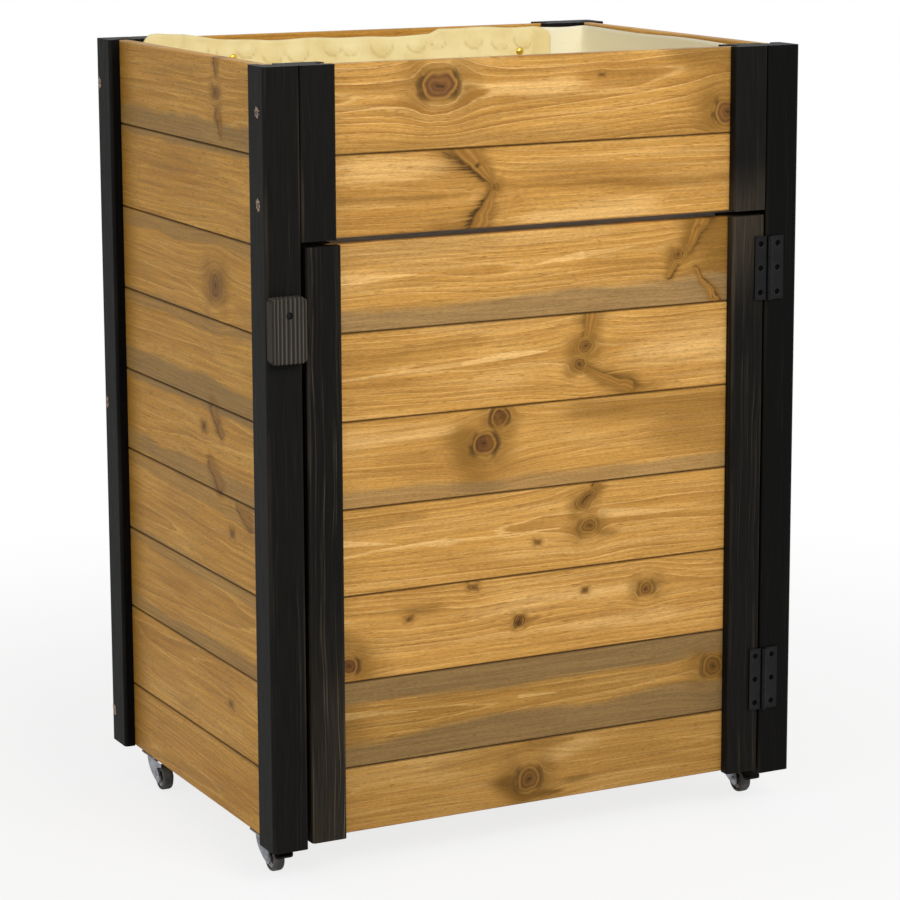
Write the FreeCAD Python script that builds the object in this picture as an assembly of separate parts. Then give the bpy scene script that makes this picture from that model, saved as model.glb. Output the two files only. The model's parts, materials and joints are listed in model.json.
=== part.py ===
import FreeCAD, Part
import math
import os

# Rolling planter cabinet, in millimetres.
# X runs to the right as seen from the front, Y to the back, Z up.
# The origin is on the floor, below the middle of the whole object.

# Cabinet
cabinet_width = 650.0
cabinet_depth = 480.0
post_length = 838.0
caster_height = 40.0

# Posts and stiles: one black-stained timber section with a groove for the boards
post_width = 41.0
post_depth = 42.0
edge_round = 4.0
groove_depth = 12.0

# Tongue-and-groove boards
board_pitch = 95.0
board_thickness = 16.0
board_drop = 1.0
board_joint = 0.5
board_end_gap = 1.0
board_side_gap = 0.2
joint_chamfer = 1.5
tongue_length = 7.0
tongue_thickness = 5.0
tongue_gap = 0.25

# Front: a fixed panel above and a door below
top_panel_height = 182.5
door_top_gap = 6.0
door_floor_gap = 5.0
door_latch_gap = 4.5
door_hinge_gap = 1.5
stop_gap = 0.3

# Planter floor: slats on a front and a back rail
planter_depth = 159.0
rail_height = 40.0
rail_thickness = 22.0
rail_end_gap = 0.5
slat_thickness = 16.0
slat_width = 92.0
slat_count = 6
slat_end_gap = 1.0

# Storage floor: boards on two bearers
bearer_width = 34.0
bearer_height = 34.0
floor_board_thickness = 16.0
floor_board_width = 94.0
floor_board_count = 4

# Felt liner
liner_thickness = 3.0
liner_wall_gap = 0.4
liner_floor_gap = 0.3
liner_edge_drop = 4.0
liner_corner_rise = 6.0
liner_corner_run = 88.0
liner_sag_drop = 26.0
liner_sag_run = 52.0
liner_fold_round = 8.0

# Turn button, modelled hanging clear of the door
button_length = 70.0
button_width = 40.0
button_thickness = 14.0
button_corner_round = 6.0
button_edge_inset = 0.3
button_gap = 0.3
button_drop = 256.0
button_pivot_inset = 19.0
button_bore_depth = 5.0
button_bore_radius = 4.0
button_screw_head_radius = 3.6
button_screw_head_height = 2.4
button_screw_radius = 2.2
button_screw_length = 40.0
running_gap = 0.05
pilot_gap = 0.2

# Hinges
hinge_height = 72.0
hinge_leaf_width = 18.5
hinge_leaf_thickness = 1.5
hinge_barrel_radius = 3.0
hinge_pin_radius = 1.6
hinge_axis_inset = 3.5
hinge_axis_gap = 0.3
hinge_root_inset = 1.2
hinge_knuckle_count = 3
hinge_knuckle_gap = 0.3
hinge_upper_drop = 248.0
hinge_lower_drop = 724.0

# Casters
wheel_radius = 15.0
wheel_width = 12.5
hub_radius = 10.8
hub_recess = 1.6
axle_radius = 2.5
caster_trail = 18.0
caster_front_inset = 79.0
caster_plate_width = 29.0
caster_plate_length = 40.0
caster_plate_thickness = 1.5
caster_plate_corner = 4.0
race_radius = 11.5
race_gap = 0.3
kingpin_radius = 3.0
kingpin_head_radius = 5.0
kingpin_head_height = 1.2
crown_radius = 11.5
crown_thickness = 2.0
crown_drop = 5.7
fork_thickness = 1.5
fork_side_gap = 0.9
fork_foot_radius = 6.0
pedal_pivot_forward = 14.0
pedal_pivot_drop = 7.0
pedal_ear_radius = 3.2
pedal_barrel_radius = 2.0
pedal_pin_radius = 1.2
pedal_side_gap = 0.25
pedal_width = 22.0
pedal_thickness = 2.0
pedal_reach = 46.0
pedal_knee_forward = 33.0
pedal_knee_height = 30.0
pedal_tip_height = 23.0
pedal_tip_round = 4.0
pad_gap = 0.35
pad_length = 6.0
pad_angle_share = 0.34

# One overrun for every cut that passes right through, and the angle share that clips a corner to an octagon's
overrun = 2.0
clip_angle_share = 1 / 8
parallel_share = 1e-6

# Places worked out from the sizes above
half_width = cabinet_width / 2
front_y = button_thickness - (cabinet_depth + button_thickness) / 2
back_y = front_y + cabinet_depth
post_bottom = caster_height
post_top = caster_height + post_length
post_inner_x = half_width - post_width
stile_inner_x = post_inner_x - post_width
post_back_y = front_y + post_depth
rear_post_front_y = back_y - post_depth
side_board_x = half_width - post_width / 2
front_board_y = front_y + post_depth / 2
back_board_y = back_y - post_depth / 2
side_inner_x = side_board_x - board_thickness / 2
front_inner_y = front_board_y + board_thickness / 2
back_inner_y = back_board_y - board_thickness / 2
board_top = post_top - board_drop
top_panel_bottom = post_top - top_panel_height
door_left_x = -post_inner_x + door_latch_gap
door_right_x = post_inner_x - door_hinge_gap
door_top = top_panel_bottom - door_top_gap
door_bottom = post_bottom + door_floor_gap
slat_top = post_top - planter_depth
rail_top = slat_top - slat_thickness
floor_top = post_bottom + bearer_height + floor_board_thickness
hinge_axis_x = post_inner_x + hinge_axis_inset
hinge_axis_y = front_y - hinge_barrel_radius - hinge_axis_gap
caster_x = side_board_x + board_thickness / 2 - caster_plate_width / 2
caster_front_y = front_y + caster_front_inset
caster_rear_y = back_y - caster_front_inset
clip_slope = math.tan(math.pi * clip_angle_share)

X_AXIS = FreeCAD.Vector(1, 0, 0)
Y_AXIS = FreeCAD.Vector(0, 1, 0)
Z_AXIS = FreeCAD.Vector(0, 0, 1)

os.makedirs("parts", exist_ok=True)


def save(name, *solids):
    """Write one node: a single solid, or a group of separate ones."""
    shape = solids[0] if len(solids) == 1 else Part.makeCompound(list(solids))
    shape.exportStep("parts/" + name + ".step")


def block(x0, x1, y0, y1, z0, z1):
    """A box between two corners."""
    return Part.makeBox(x1 - x0, y1 - y0, z1 - z0, FreeCAD.Vector(x0, y0, z0))


def rod(radius, length, start, axis):
    """A cylinder from a start point along an axis."""
    return Part.makeCylinder(radius, length, start, axis)


def prism(points, along):
    """Carry a closed outline of points along a vector."""
    return Part.Face(Part.makePolygon(points + points[:1])).extrude(along)


def edges_along(shape, axis):
    """The straight edges of a shape that run along an axis."""
    chosen = []
    for edge in shape.Edges:
        run = edge.Vertexes[-1].Point - edge.Vertexes[0].Point
        if run.Length > 0 and abs(abs(run.normalize().dot(axis)) - 1) < parallel_share:
            chosen.append(edge)
    return chosen


def timber(x0, x1, y0, y1, z0, z1):
    """A planed post or stile with its long edges rounded."""
    bar = block(x0, x1, y0, y1, z0, z1)
    return bar.makeFillet(edge_round, edges_along(bar, Z_AXIS))


def groove_in(bar, facing, middle, edge):
    """Cut the full-length board groove into one side of a post or stile.

    facing is the outward direction of that side, edge its coordinate, and middle the
    centre of the groove across it.
    """
    half = board_thickness / 2 + board_side_gap
    inner = edge - (facing.x + facing.y) * groove_depth
    outer = edge + (facing.x + facing.y) * overrun
    low, high = min(inner, outer), max(inner, outer)
    z0 = bar.BoundBox.ZMin - overrun
    z1 = bar.BoundBox.ZMax + overrun
    if facing.x:
        return bar.cut(block(low, high, middle - half, middle + half, z0, z1))
    return bar.cut(block(middle - half, middle + half, low, high, z0, z1))


def board(runs, start, end, middle, top, bottom, has_tongue, has_groove):
    """One tongue-and-groove board, its section carried from start to end along runs."""
    half = board_thickness / 2
    tongue = tongue_thickness / 2
    slot = tongue + tongue_gap
    slot_top = bottom + tongue_length + tongue_gap
    outline = [(-half, bottom + joint_chamfer), (-half, top - joint_chamfer), (joint_chamfer - half, top)]
    if has_tongue:
        outline += [(-tongue, top), (-tongue, top + tongue_length)]
        outline += [(tongue, top + tongue_length), (tongue, top)]
    outline += [(half - joint_chamfer, top), (half, top - joint_chamfer)]
    outline += [(half, bottom + joint_chamfer), (half - joint_chamfer, bottom)]
    if has_groove:
        outline += [(slot, bottom), (slot, slot_top), (-slot, slot_top), (-slot, bottom)]
    outline += [(joint_chamfer - half, bottom)]
    if runs.x:
        points = [FreeCAD.Vector(start, middle + t, z) for t, z in outline]
    else:
        points = [FreeCAD.Vector(middle + t, start, z) for t, z in outline]
    return prism(points, runs * (end - start))


def board_panel(runs, start, end, middle, top, bottom):
    """A stack of boards from top to bottom, the last one cut to what is left."""
    count = math.ceil((top - bottom) / board_pitch)
    boards = []
    for row in range(count):
        row_top = top - row * board_pitch
        last = row == count - 1
        row_bottom = bottom if last else row_top - board_pitch + board_joint
        boards.append(board(runs, start, end, middle, row_top, row_bottom, row > 0, not last))
    return boards


def mirrored(shape):
    """The same piece on the other side of the middle plane."""
    return shape.mirror(FreeCAD.Vector(), X_AXIS)


# Corner posts, with a groove for the side boards
front_post = timber(-half_width, -post_inner_x, front_y, post_back_y, post_bottom, post_top)
front_post = groove_in(front_post, Y_AXIS, -side_board_x, post_back_y)
rear_post = timber(-half_width, -post_inner_x, rear_post_front_y, back_y, post_bottom, post_top)
rear_post = groove_in(rear_post, Y_AXIS * -1, -side_board_x, rear_post_front_y)

button_left = button_edge_inset - half_width
button_pivot = FreeCAD.Vector(button_left + button_width / 2, front_y - button_thickness,
                              post_top - button_drop)
button_screw_start = button_pivot + Y_AXIS * button_bore_depth
button_pilot = rod(button_screw_radius + pilot_gap, button_screw_length + pilot_gap,
                   button_screw_start, Y_AXIS)
save("post_front_left", front_post.cut(button_pilot))
save("post_front_right", mirrored(front_post))
save("post_rear_left", rear_post)
save("post_rear_right", mirrored(rear_post))

# Side walls: boards from post to post
side_start = post_back_y - groove_depth + board_end_gap
side_end = rear_post_front_y + groove_depth - board_end_gap
left_boards = board_panel(Y_AXIS, side_start, side_end, -side_board_x, board_top, post_bottom)
save("side_boards_left", *left_boards)
save("side_boards_right", *[mirrored(piece) for piece in left_boards])

# Back wall: a stile beside each rear post, and boards between them
back_stile = timber(-post_inner_x, -stile_inner_x, rear_post_front_y, back_y, post_bottom, post_top)
back_stile = groove_in(back_stile, X_AXIS, back_board_y, -stile_inner_x)
save("back_stile_left", back_stile)
save("back_stile_right", mirrored(back_stile))
wall_reach = stile_inner_x + groove_depth - board_end_gap

back_boards = board_panel(X_AXIS, -wall_reach, wall_reach, back_board_y, board_top, post_bottom)
save("back_boards", *back_boards)

# Fixed front panel: short stiles and two boards
front_stile = timber(-post_inner_x, -stile_inner_x, front_y, post_back_y, top_panel_bottom, post_top)
front_stile = groove_in(front_stile, X_AXIS, front_board_y, -stile_inner_x)
save("front_stile_left", front_stile)
save("front_stile_right", mirrored(front_stile))
front_boards = board_panel(X_AXIS, -wall_reach, wall_reach, front_board_y, board_top, top_panel_bottom)
save("front_board_upper", front_boards[0])
save("front_board_lower", front_boards[1])

# Door: two stiles and a stack of boards
left_stile_edge = door_left_x + post_width
right_stile_edge = door_right_x - post_width
door_stile_left = timber(door_left_x, left_stile_edge, front_y, post_back_y, door_bottom, door_top)
save("door_stile_left", groove_in(door_stile_left, X_AXIS, front_board_y, left_stile_edge))
door_stile_right = timber(right_stile_edge, door_right_x, front_y, post_back_y, door_bottom, door_top)
save("door_stile_right", groove_in(door_stile_right, X_AXIS * -1, front_board_y, right_stile_edge))
door_start = left_stile_edge - groove_depth + board_end_gap
door_end = right_stile_edge + groove_depth - board_end_gap
door_boards = board_panel(X_AXIS, door_start, door_end, front_board_y, door_top - board_drop,
                          door_bottom + board_drop)
for number, piece in enumerate(door_boards, 1):
    save("door_board_%d" % number, piece)

# Planter floor: rails across the front and the back, and slats with drainage gaps
rail_reach = side_inner_x - rail_end_gap
rail_front_y = post_back_y + stop_gap
rail_back_y = rear_post_front_y - stop_gap
save("front_rail", block(-rail_reach, rail_reach, rail_front_y, rail_front_y + rail_thickness,
                         rail_top - rail_height, rail_top))
save("back_rail", block(-rail_reach, rail_reach, rail_back_y - rail_thickness, rail_back_y,
                        rail_top - rail_height, rail_top))
slat_step = (2 * rail_reach - slat_width) / (slat_count - 1)
slats = []
for index in range(slat_count):
    slat_x = index * slat_step - rail_reach
    slats.append(block(slat_x, slat_x + slat_width, post_back_y + slat_end_gap,
                       rear_post_front_y - slat_end_gap, rail_top, slat_top))
save("planter_slats", *slats)

# Storage floor: a bearer along each side wall, flush with the posts' feet, and boards across them
bearer_start = post_back_y + stop_gap
bearer_end = rear_post_front_y - stop_gap
bearer_top = post_bottom + bearer_height
bearer = block(-side_inner_x, bearer_width - side_inner_x, bearer_start, bearer_end, post_bottom, bearer_top)
save("base_bearers", bearer, mirrored(bearer))
floor_step = (bearer_end - bearer_start - floor_board_width) / (floor_board_count - 1)
floor_boards = []
for index in range(floor_board_count):
    floor_y = bearer_start + index * floor_step
    floor_boards.append(block(-rail_reach, rail_reach, floor_y, floor_y + floor_board_width,
                              bearer_top, floor_top))
save("storage_floor_boards", *floor_boards)


# Felt liner: a tray pressed out against the boards between the posts and stiles
def liner_form(inset, fold_round, bottom, top):
    """A block that fills the planter's inner plan, stepped round the stiles and pulled in by inset.

    The corners that the felt is pushed into are rounded by fold_round.
    """
    wall_x = side_inner_x - inset
    stile_x = stile_inner_x - inset
    front_wall = front_inner_y + inset
    front_step = post_back_y + inset
    back_wall = back_inner_y - inset
    back_step = rear_post_front_y - inset
    right = [(stile_x, front_wall), (stile_x, front_step), (wall_x, front_step), (wall_x, back_step),
             (stile_x, back_step), (stile_x, back_wall)]
    plan = right + [(-x, y) for x, y in reversed(right)]
    form = prism([FreeCAD.Vector(x, y, bottom) for x, y in plan], Z_AXIS * (top - bottom))
    turns = [(side * stile_x, y) for side in (-1, 1) for y in (front_step, back_step)]
    folds = [edge for edge in edges_along(form, Z_AXIS)
             if min(abs(edge.Vertexes[0].X - x) + abs(edge.Vertexes[0].Y - y) for x, y in turns) > inset]
    return form.makeFillet(fold_round, folds)


liner_rim = post_top + liner_corner_rise
liner_floor = slat_top + liner_floor_gap
liner_edge = post_top - liner_edge_drop
liner_outer = liner_form(liner_wall_gap, liner_fold_round, liner_floor, liner_rim)
liner_inner = liner_form(liner_wall_gap + liner_thickness, liner_fold_round - liner_thickness,
                         liner_floor + liner_thickness, liner_rim + overrun)
liner = liner_outer.cut(liner_inner)

# Its upper edge stands up at the left rear corner, lies just below the boards, and sags at the right front
trim_left = -side_inner_x - overrun
trim_right = side_inner_x + overrun
trim_top = liner_rim + overrun
trim_back_y = back_inner_y + overrun
trim_middle_y = back_inner_y - liner_corner_run
back_trim = [(trim_left, trim_top), (-stile_inner_x, liner_rim),
             (liner_corner_run - stile_inner_x, liner_edge), (trim_right, liner_edge), (trim_right, trim_top)]
liner = liner.cut(prism([FreeCAD.Vector(x, trim_middle_y, z) for x, z in back_trim],
                        Y_AXIS * (trim_back_y - trim_middle_y)))
sag_end_y = post_back_y + liner_sag_run
trim_front_y = front_inner_y - overrun
sag_edge = liner_edge - liner_sag_drop
front_trim = [(trim_front_y, sag_edge), (post_back_y, sag_edge), (sag_end_y, liner_edge),
              (trim_middle_y, liner_edge), (trim_middle_y, trim_top), (trim_front_y, trim_top)]
liner = liner.cut(prism([FreeCAD.Vector(stile_inner_x, y, z) for y, z in front_trim],
                        X_AXIS * (trim_right - stile_inner_x)))
liner = liner.cut(block(trim_left, stile_inner_x, trim_front_y, trim_middle_y, liner_edge, trim_top))
save("planter_liner", liner)


# Turn button: an offcut of board on one screw, turned down here and swung up over the door to latch it
button_top = button_pivot.z + button_pivot_inset
button = block(button_left, button_left + button_width, front_y - button_thickness, front_y - button_gap,
               button_top - button_length, button_top)
button = button.makeFillet(button_corner_round, edges_along(button, Y_AXIS))
button = button.cut(rod(button_bore_radius, button_bore_depth, button_pivot, Y_AXIS))
button = button.cut(rod(button_screw_radius + running_gap, button_thickness, button_pivot, Y_AXIS))
save("turn_button", button)
button_screw_head = rod(button_screw_head_radius, button_screw_head_height, button_screw_start, Y_AXIS * -1)
save("turn_button_screw", button_screw_head.fuse(
    rod(button_screw_radius, button_screw_length, button_screw_start, Y_AXIS)))


# Butt hinges: leaves flat on the wood, a barrel of interleaved knuckles in front of the gap
def hinge_leaf(side, height):
    """One leaf with its share of the knuckles: side is -1 on the door and 1 on the post.

    The post's leaf has the end knuckles, with the riveted pin that the door's knuckle turns on.
    """
    bottom = height - hinge_height / 2
    pitch = hinge_height / hinge_knuckle_count
    clear = hinge_barrel_radius + hinge_knuckle_gap
    near = hinge_axis_x + side * hinge_root_inset
    far = hinge_axis_x + side * hinge_leaf_width
    leaf = block(min(near, far), max(near, far), front_y - hinge_leaf_thickness, front_y,
                 bottom, bottom + hinge_height)
    barrel_start = FreeCAD.Vector(hinge_axis_x, hinge_axis_y, bottom)
    for index in range(hinge_knuckle_count):
        start = barrel_start + Z_AXIS * (index * pitch)
        if (index % 2 == 0) == (side > 0):
            leaf = leaf.fuse(rod(hinge_barrel_radius, pitch - hinge_knuckle_gap, start, Z_AXIS))
        else:
            low = start.z - hinge_knuckle_gap
            leaf = leaf.cut(block(hinge_axis_x - clear, hinge_axis_x + clear, hinge_axis_y - clear,
                                  front_y + overrun, low, low + pitch + hinge_knuckle_gap))
    if side > 0:
        leaf = leaf.fuse(rod(hinge_pin_radius, hinge_height - hinge_knuckle_gap, barrel_start, Z_AXIS))
    else:
        leaf = leaf.cut(rod(hinge_pin_radius + running_gap, hinge_height, barrel_start, Z_AXIS))
    return leaf.removeSplitter()


hinge_heights = {"upper": post_top - hinge_upper_drop, "lower": post_top - hinge_lower_drop}
for level, height in hinge_heights.items():
    save("hinge_leaf_door_" + level, hinge_leaf(-1, height))
    save("hinge_leaf_post_" + level, hinge_leaf(1, height))


# Casters: a fixed plate with a race and kingpin, a swivelling fork, and a soft-tread wheel on an axle
caster_places = {
    "front_left": FreeCAD.Vector(-caster_x, caster_front_y, 0),
    "front_right": FreeCAD.Vector(caster_x, caster_front_y, 0),
    "rear_left": FreeCAD.Vector(-caster_x, caster_rear_y, 0),
    "rear_right": FreeCAD.Vector(caster_x, caster_rear_y, 0),
}
plate_bottom = caster_height - caster_plate_thickness
crown_top = caster_height - crown_drop
crown_bottom = crown_top - crown_thickness
fork_inner = wheel_width / 2 + fork_side_gap
fork_outer = fork_inner + fork_thickness
axle_height = wheel_radius
hub_width = wheel_width - 2 * hub_recess
pedal_pivot_height = caster_height - pedal_pivot_drop


def caster_plate(place):
    """A pressed plate with the fixed upper race below it and the riveted kingpin that the fork turns on."""
    half_x = caster_plate_width / 2
    half_y = caster_plate_length / 2
    corner_x = half_x - caster_plate_corner
    corner_y = half_y - caster_plate_corner
    quarter = [(half_x, corner_y), (corner_x, half_y)]
    half_plan = quarter + [(-x, y) for x, y in reversed(quarter)]
    plan = half_plan + [(-x, -y) for x, y in half_plan]
    plate = prism([place + FreeCAD.Vector(x, y, plate_bottom) for x, y in plan],
                  Z_AXIS * caster_plate_thickness)
    race_bottom = crown_top + race_gap
    race = rod(race_radius, plate_bottom - race_bottom, place + Z_AXIS * race_bottom, Z_AXIS)
    shank_bottom = crown_bottom - race_gap
    shank = rod(kingpin_radius, race_bottom - shank_bottom, place + Z_AXIS * shank_bottom, Z_AXIS)
    head = rod(kingpin_head_radius, kingpin_head_height, place + Z_AXIS * shank_bottom, Z_AXIS * -1)
    return plate.fuse([race, shank, head]).removeSplitter()


def leg_outline(x, y, with_ear):
    """A fork leg seen from the side: crown, sloping back edge, clipped foot round the axle, and pedal ear."""
    foot = FreeCAD.Vector(x, y - caster_trail, axle_height)
    clip = fork_foot_radius * clip_slope
    foot_points = [(-fork_foot_radius, clip), (-fork_foot_radius, -clip), (-clip, -fork_foot_radius),
                   (clip, -fork_foot_radius), (fork_foot_radius, -clip), (fork_foot_radius, clip)]
    outline = [FreeCAD.Vector(x, y + crown_radius, crown_bottom),
               FreeCAD.Vector(x, y + crown_radius, crown_top),
               FreeCAD.Vector(x, y - crown_radius, crown_top)]
    if with_ear:
        ear = FreeCAD.Vector(x, y - pedal_pivot_forward, pedal_pivot_height)
        ear_clip = pedal_ear_radius * clip_slope
        outline += [ear + Z_AXIS * pedal_ear_radius - Y_AXIS * ear_clip,
                    ear + Z_AXIS * ear_clip - Y_AXIS * pedal_ear_radius]
    outline += [foot + Y_AXIS * along + Z_AXIS * up for along, up in foot_points]
    return outline


def caster_fork(place, with_ear):
    """A pressed fork: a crown on the kingpin, two legs, the riveted axle and, in front, the pedal's pin."""
    fork = block(place.x - fork_outer, place.x + fork_outer, place.y - crown_radius, place.y + crown_radius,
                 crown_bottom, crown_top)
    for side in (-1, 1):
        near = place.x + side * fork_inner
        leg = prism(leg_outline(near, place.y, with_ear), X_AXIS * (side * fork_thickness))
        fork = fork.fuse(leg)
    fork = fork.cut(rod(kingpin_radius + running_gap, caster_height, place, Z_AXIS))
    axle_start = FreeCAD.Vector(place.x - fork_inner, place.y - caster_trail, axle_height)
    fork = fork.fuse(rod(axle_radius, 2 * fork_inner, axle_start, X_AXIS))
    if with_ear:
        pin_start = FreeCAD.Vector(place.x - fork_inner, place.y - pedal_pivot_forward, pedal_pivot_height)
        fork = fork.fuse(rod(pedal_pin_radius, 2 * fork_inner, pin_start, X_AXIS))
    return fork.removeSplitter()


def wheel_ring(place, inner_radius, outer_radius, width):
    """A ring about the wheel's axle, in the middle of its width."""
    start = FreeCAD.Vector(place.x - width / 2, place.y - caster_trail, axle_height)
    return rod(outer_radius, width, start, X_AXIS).cut(rod(inner_radius, width, start, X_AXIS))


def brake_pedal(place):
    """A bent brake lever on its pin between the fork's ears, with a pad above the tread."""
    pivot = FreeCAD.Vector(place.x, place.y - pedal_pivot_forward, pedal_pivot_height)
    half = fork_inner - pedal_side_gap
    barrel = rod(pedal_barrel_radius, 2 * half, pivot - X_AXIS * half, X_AXIS)
    bore = rod(pedal_pin_radius + running_gap, 2 * half, pivot - X_AXIS * half, X_AXIS)
    knee = FreeCAD.Vector(place.x, place.y - pedal_knee_forward, pedal_knee_height)
    tip = FreeCAD.Vector(place.x, place.y - pedal_reach, pedal_tip_height)
    up = Z_AXIS * (pedal_thickness / 2)
    shank = prism([pivot - up - X_AXIS * half, pivot + up - X_AXIS * half,
                   knee + up - X_AXIS * half, knee - up - X_AXIS * half], X_AXIS * (2 * half))
    wide = X_AXIS * (pedal_width / 2)
    tread = prism([knee - up - wide, knee + up - wide, tip + up - wide, tip - up - wide],
                  X_AXIS * pedal_width)
    plan = block(tip.x - pedal_width / 2, tip.x + pedal_width / 2, tip.y, knee.y, 0, caster_height)
    tip_edges = [edge for edge in edges_along(plan, Z_AXIS) if edge.Vertexes[0].Y < (tip.y + knee.y) / 2]
    tread = tread.common(plan.makeFillet(pedal_tip_round, tip_edges))
    pad_angle = math.pi * pad_angle_share
    spoke = Z_AXIS * math.sin(pad_angle) - Y_AXIS * math.cos(pad_angle)
    across = Z_AXIS * math.cos(pad_angle) + Y_AXIS * math.sin(pad_angle)
    axle = FreeCAD.Vector(place.x, place.y - caster_trail, axle_height)
    foot = axle + spoke * (wheel_radius + pad_gap) - across * (pad_length / 2) - X_AXIS * (wheel_width / 2)
    rise = spoke * (pedal_thickness + pad_gap)
    pad = prism([foot, foot + across * pad_length, foot + across * pad_length + rise, foot + rise],
                X_AXIS * wheel_width)
    return barrel.fuse([shank, tread, pad]).cut(bore).removeSplitter()


save("caster_plates", *[caster_plate(place) for place in caster_places.values()])
for corner, place in caster_places.items():
    braked = corner.startswith("front")
    save("caster_fork_" + corner, caster_fork(place, braked))
    save("caster_tyre_" + corner, wheel_ring(place, hub_radius, wheel_radius, wheel_width))
    save("caster_hub_" + corner, wheel_ring(place, axle_radius + running_gap, hub_radius, hub_width))
    if braked:
        save("brake_pedal_" + corner.split("_")[1], brake_pedal(place))
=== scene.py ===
# %% [markdown]
# # A rolling planter cabinet
# The cabinet is a frame of black-stained posts with oiled pine boards let into it.
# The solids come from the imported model, which sits in the scene as a fixed frame.
# This lesson dresses them: wood grain with knots, a felt liner, fasteners and casters.

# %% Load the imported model
import json
import math

import bpy
import numpy as np
from mathutils import Matrix, Vector


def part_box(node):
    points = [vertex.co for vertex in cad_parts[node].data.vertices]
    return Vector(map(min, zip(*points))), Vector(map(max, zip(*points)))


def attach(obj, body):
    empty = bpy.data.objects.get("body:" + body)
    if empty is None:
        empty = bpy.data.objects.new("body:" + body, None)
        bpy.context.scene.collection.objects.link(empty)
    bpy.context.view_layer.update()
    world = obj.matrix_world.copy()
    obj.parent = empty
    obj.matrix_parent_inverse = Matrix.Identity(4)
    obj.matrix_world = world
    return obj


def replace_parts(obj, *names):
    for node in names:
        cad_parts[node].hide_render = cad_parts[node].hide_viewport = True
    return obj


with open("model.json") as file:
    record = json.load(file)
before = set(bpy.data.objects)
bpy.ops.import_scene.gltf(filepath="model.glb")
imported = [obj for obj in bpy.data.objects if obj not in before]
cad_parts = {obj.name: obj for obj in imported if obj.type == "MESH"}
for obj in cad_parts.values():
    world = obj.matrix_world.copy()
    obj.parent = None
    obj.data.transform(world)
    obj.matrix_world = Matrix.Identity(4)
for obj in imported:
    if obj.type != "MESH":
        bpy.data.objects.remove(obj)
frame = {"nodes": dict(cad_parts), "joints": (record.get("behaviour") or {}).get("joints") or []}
nodes = frame["nodes"]
joint_place = {joint["name"]: joint["pos_m"] for joint in frame["joints"]}
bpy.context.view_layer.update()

# %% [markdown]
# ## The camera
# A photograph gives a camera through the corners of the posts: their places in the picture fix where the
# lens stood, which way it looked and how long it was. The numbers below are that fit, so the render and the
# photograph can be laid over each other. The small shift says that the picture is a crop of a larger one.

# %% Place the camera
picture_side = 900.0
focal_pixels = 3087.0
lens_centre = (474.0, 375.0)
camera_place = Vector((-1.579, -3.124, 1.132))
camera_turn = Vector((0.1761, -0.4762, -0.0454))

level_view = Matrix(((1, 0, 0), (0, 0, -1), (0, 1, 0)))
right, down, ahead = Matrix.Rotation(camera_turn.length, 3, camera_turn.normalized()) @ level_view
lens = bpy.data.cameras.new("photo_camera")
lens.sensor_width = 36.0
lens.lens = focal_pixels / picture_side * lens.sensor_width
lens.shift_x = (picture_side / 2 - lens_centre[0]) / picture_side
lens.shift_y = (lens_centre[1] - picture_side / 2) / picture_side
camera = bpy.data.objects.new("photo_camera", lens)
turn = Matrix((right, -down, -ahead)).transposed().to_4x4()
camera.matrix_world = Matrix.Translation(camera_place) @ turn
bpy.context.scene.collection.objects.link(camera)
bpy.context.scene.camera = camera
bpy.context.scene.view_settings.view_transform = "Standard"
print("lens", round(lens.lens, 1), "mm, shift", round(lens.shift_x, 3), round(lens.shift_y, 3))

# %% [markdown]
# ## Surfaces from arrays
# Each new piece is a surface with two parameters, held as a numpy grid of points. Neighbouring points make
# the faces, and a closed grid joins its last column to its first. A piece of several grids is one mesh.

# %% A mesh from grids of points
def full_circle(steps):
    """Angles at even steps once round."""
    return np.linspace(0.0, 2 * np.pi, steps, endpoint=False)


def even_steps(points, count, endpoint=True):
    """Points at even steps along a line of points in a plane, and their distances from its start."""
    runs = np.linalg.norm(np.diff(points, axis=0), axis=1)
    distance = np.concatenate([[0.0], np.cumsum(runs)])
    places = np.linspace(0.0, distance[-1], count, endpoint=endpoint)
    return np.stack([np.interp(places, distance, points[:, k]) for k in range(2)], 1), places


def sheet_faces(rows, columns, closed):
    """Four corners for each cell of a grid whose columns may close on themselves."""
    row = np.arange(rows - 1)[:, None]
    column = np.arange(columns if closed else columns - 1)[None, :]
    following = (column + 1) % columns
    corners = [row * columns + column, row * columns + following,
               (row + 1) * columns + following, (row + 1) * columns + column]
    return np.stack(np.broadcast_arrays(*corners), -1).reshape(-1, 4)


def make_piece(name, grids, finish, closed=False, crease=45.0, **marks):
    """One mesh from grids of points (rows, columns, 3). The columns of a closed grid meet and its faces are
    turned to look outward. Marks are values per point, kept as attributes."""
    points, faces, start = [], [], 0
    for grid in grids:
        rows, columns = grid.shape[:2]
        cells = sheet_faces(rows, columns, closed)
        faces.append((cells[:, ::-1] if closed else cells) + start)
        points.append(grid.reshape(-1, 3))
        start += rows * columns
    mesh = bpy.data.meshes.new(name)
    mesh.from_pydata(np.concatenate(points).tolist(), [], np.concatenate(faces).tolist())
    mesh.polygons.foreach_set("use_smooth", np.ones(len(mesh.polygons), bool))
    mesh.set_sharp_from_angle(angle=math.radians(crease))
    for mark, values in marks.items():
        layer = mesh.attributes.new(mark, "FLOAT", "POINT")
        layer.data.foreach_set("value", np.concatenate([v.ravel() for v in values]).astype(np.float32))
    mesh.materials.append(finish)
    mesh.validate()
    piece = bpy.data.objects.new(name, mesh)
    bpy.context.scene.collection.objects.link(piece)
    return piece


print("surface helpers ready")

# %% [markdown]
# ## Finishes from nodes
# A finish is a small program of nodes that reads the place of a point on the object. The helpers below add
# one node per call or per sum and hand back its output as a wire, so the recipes that follow read like
# arithmetic. Colours are written as a paint card gives them, 0 to 255, and are turned into linear light.

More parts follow.
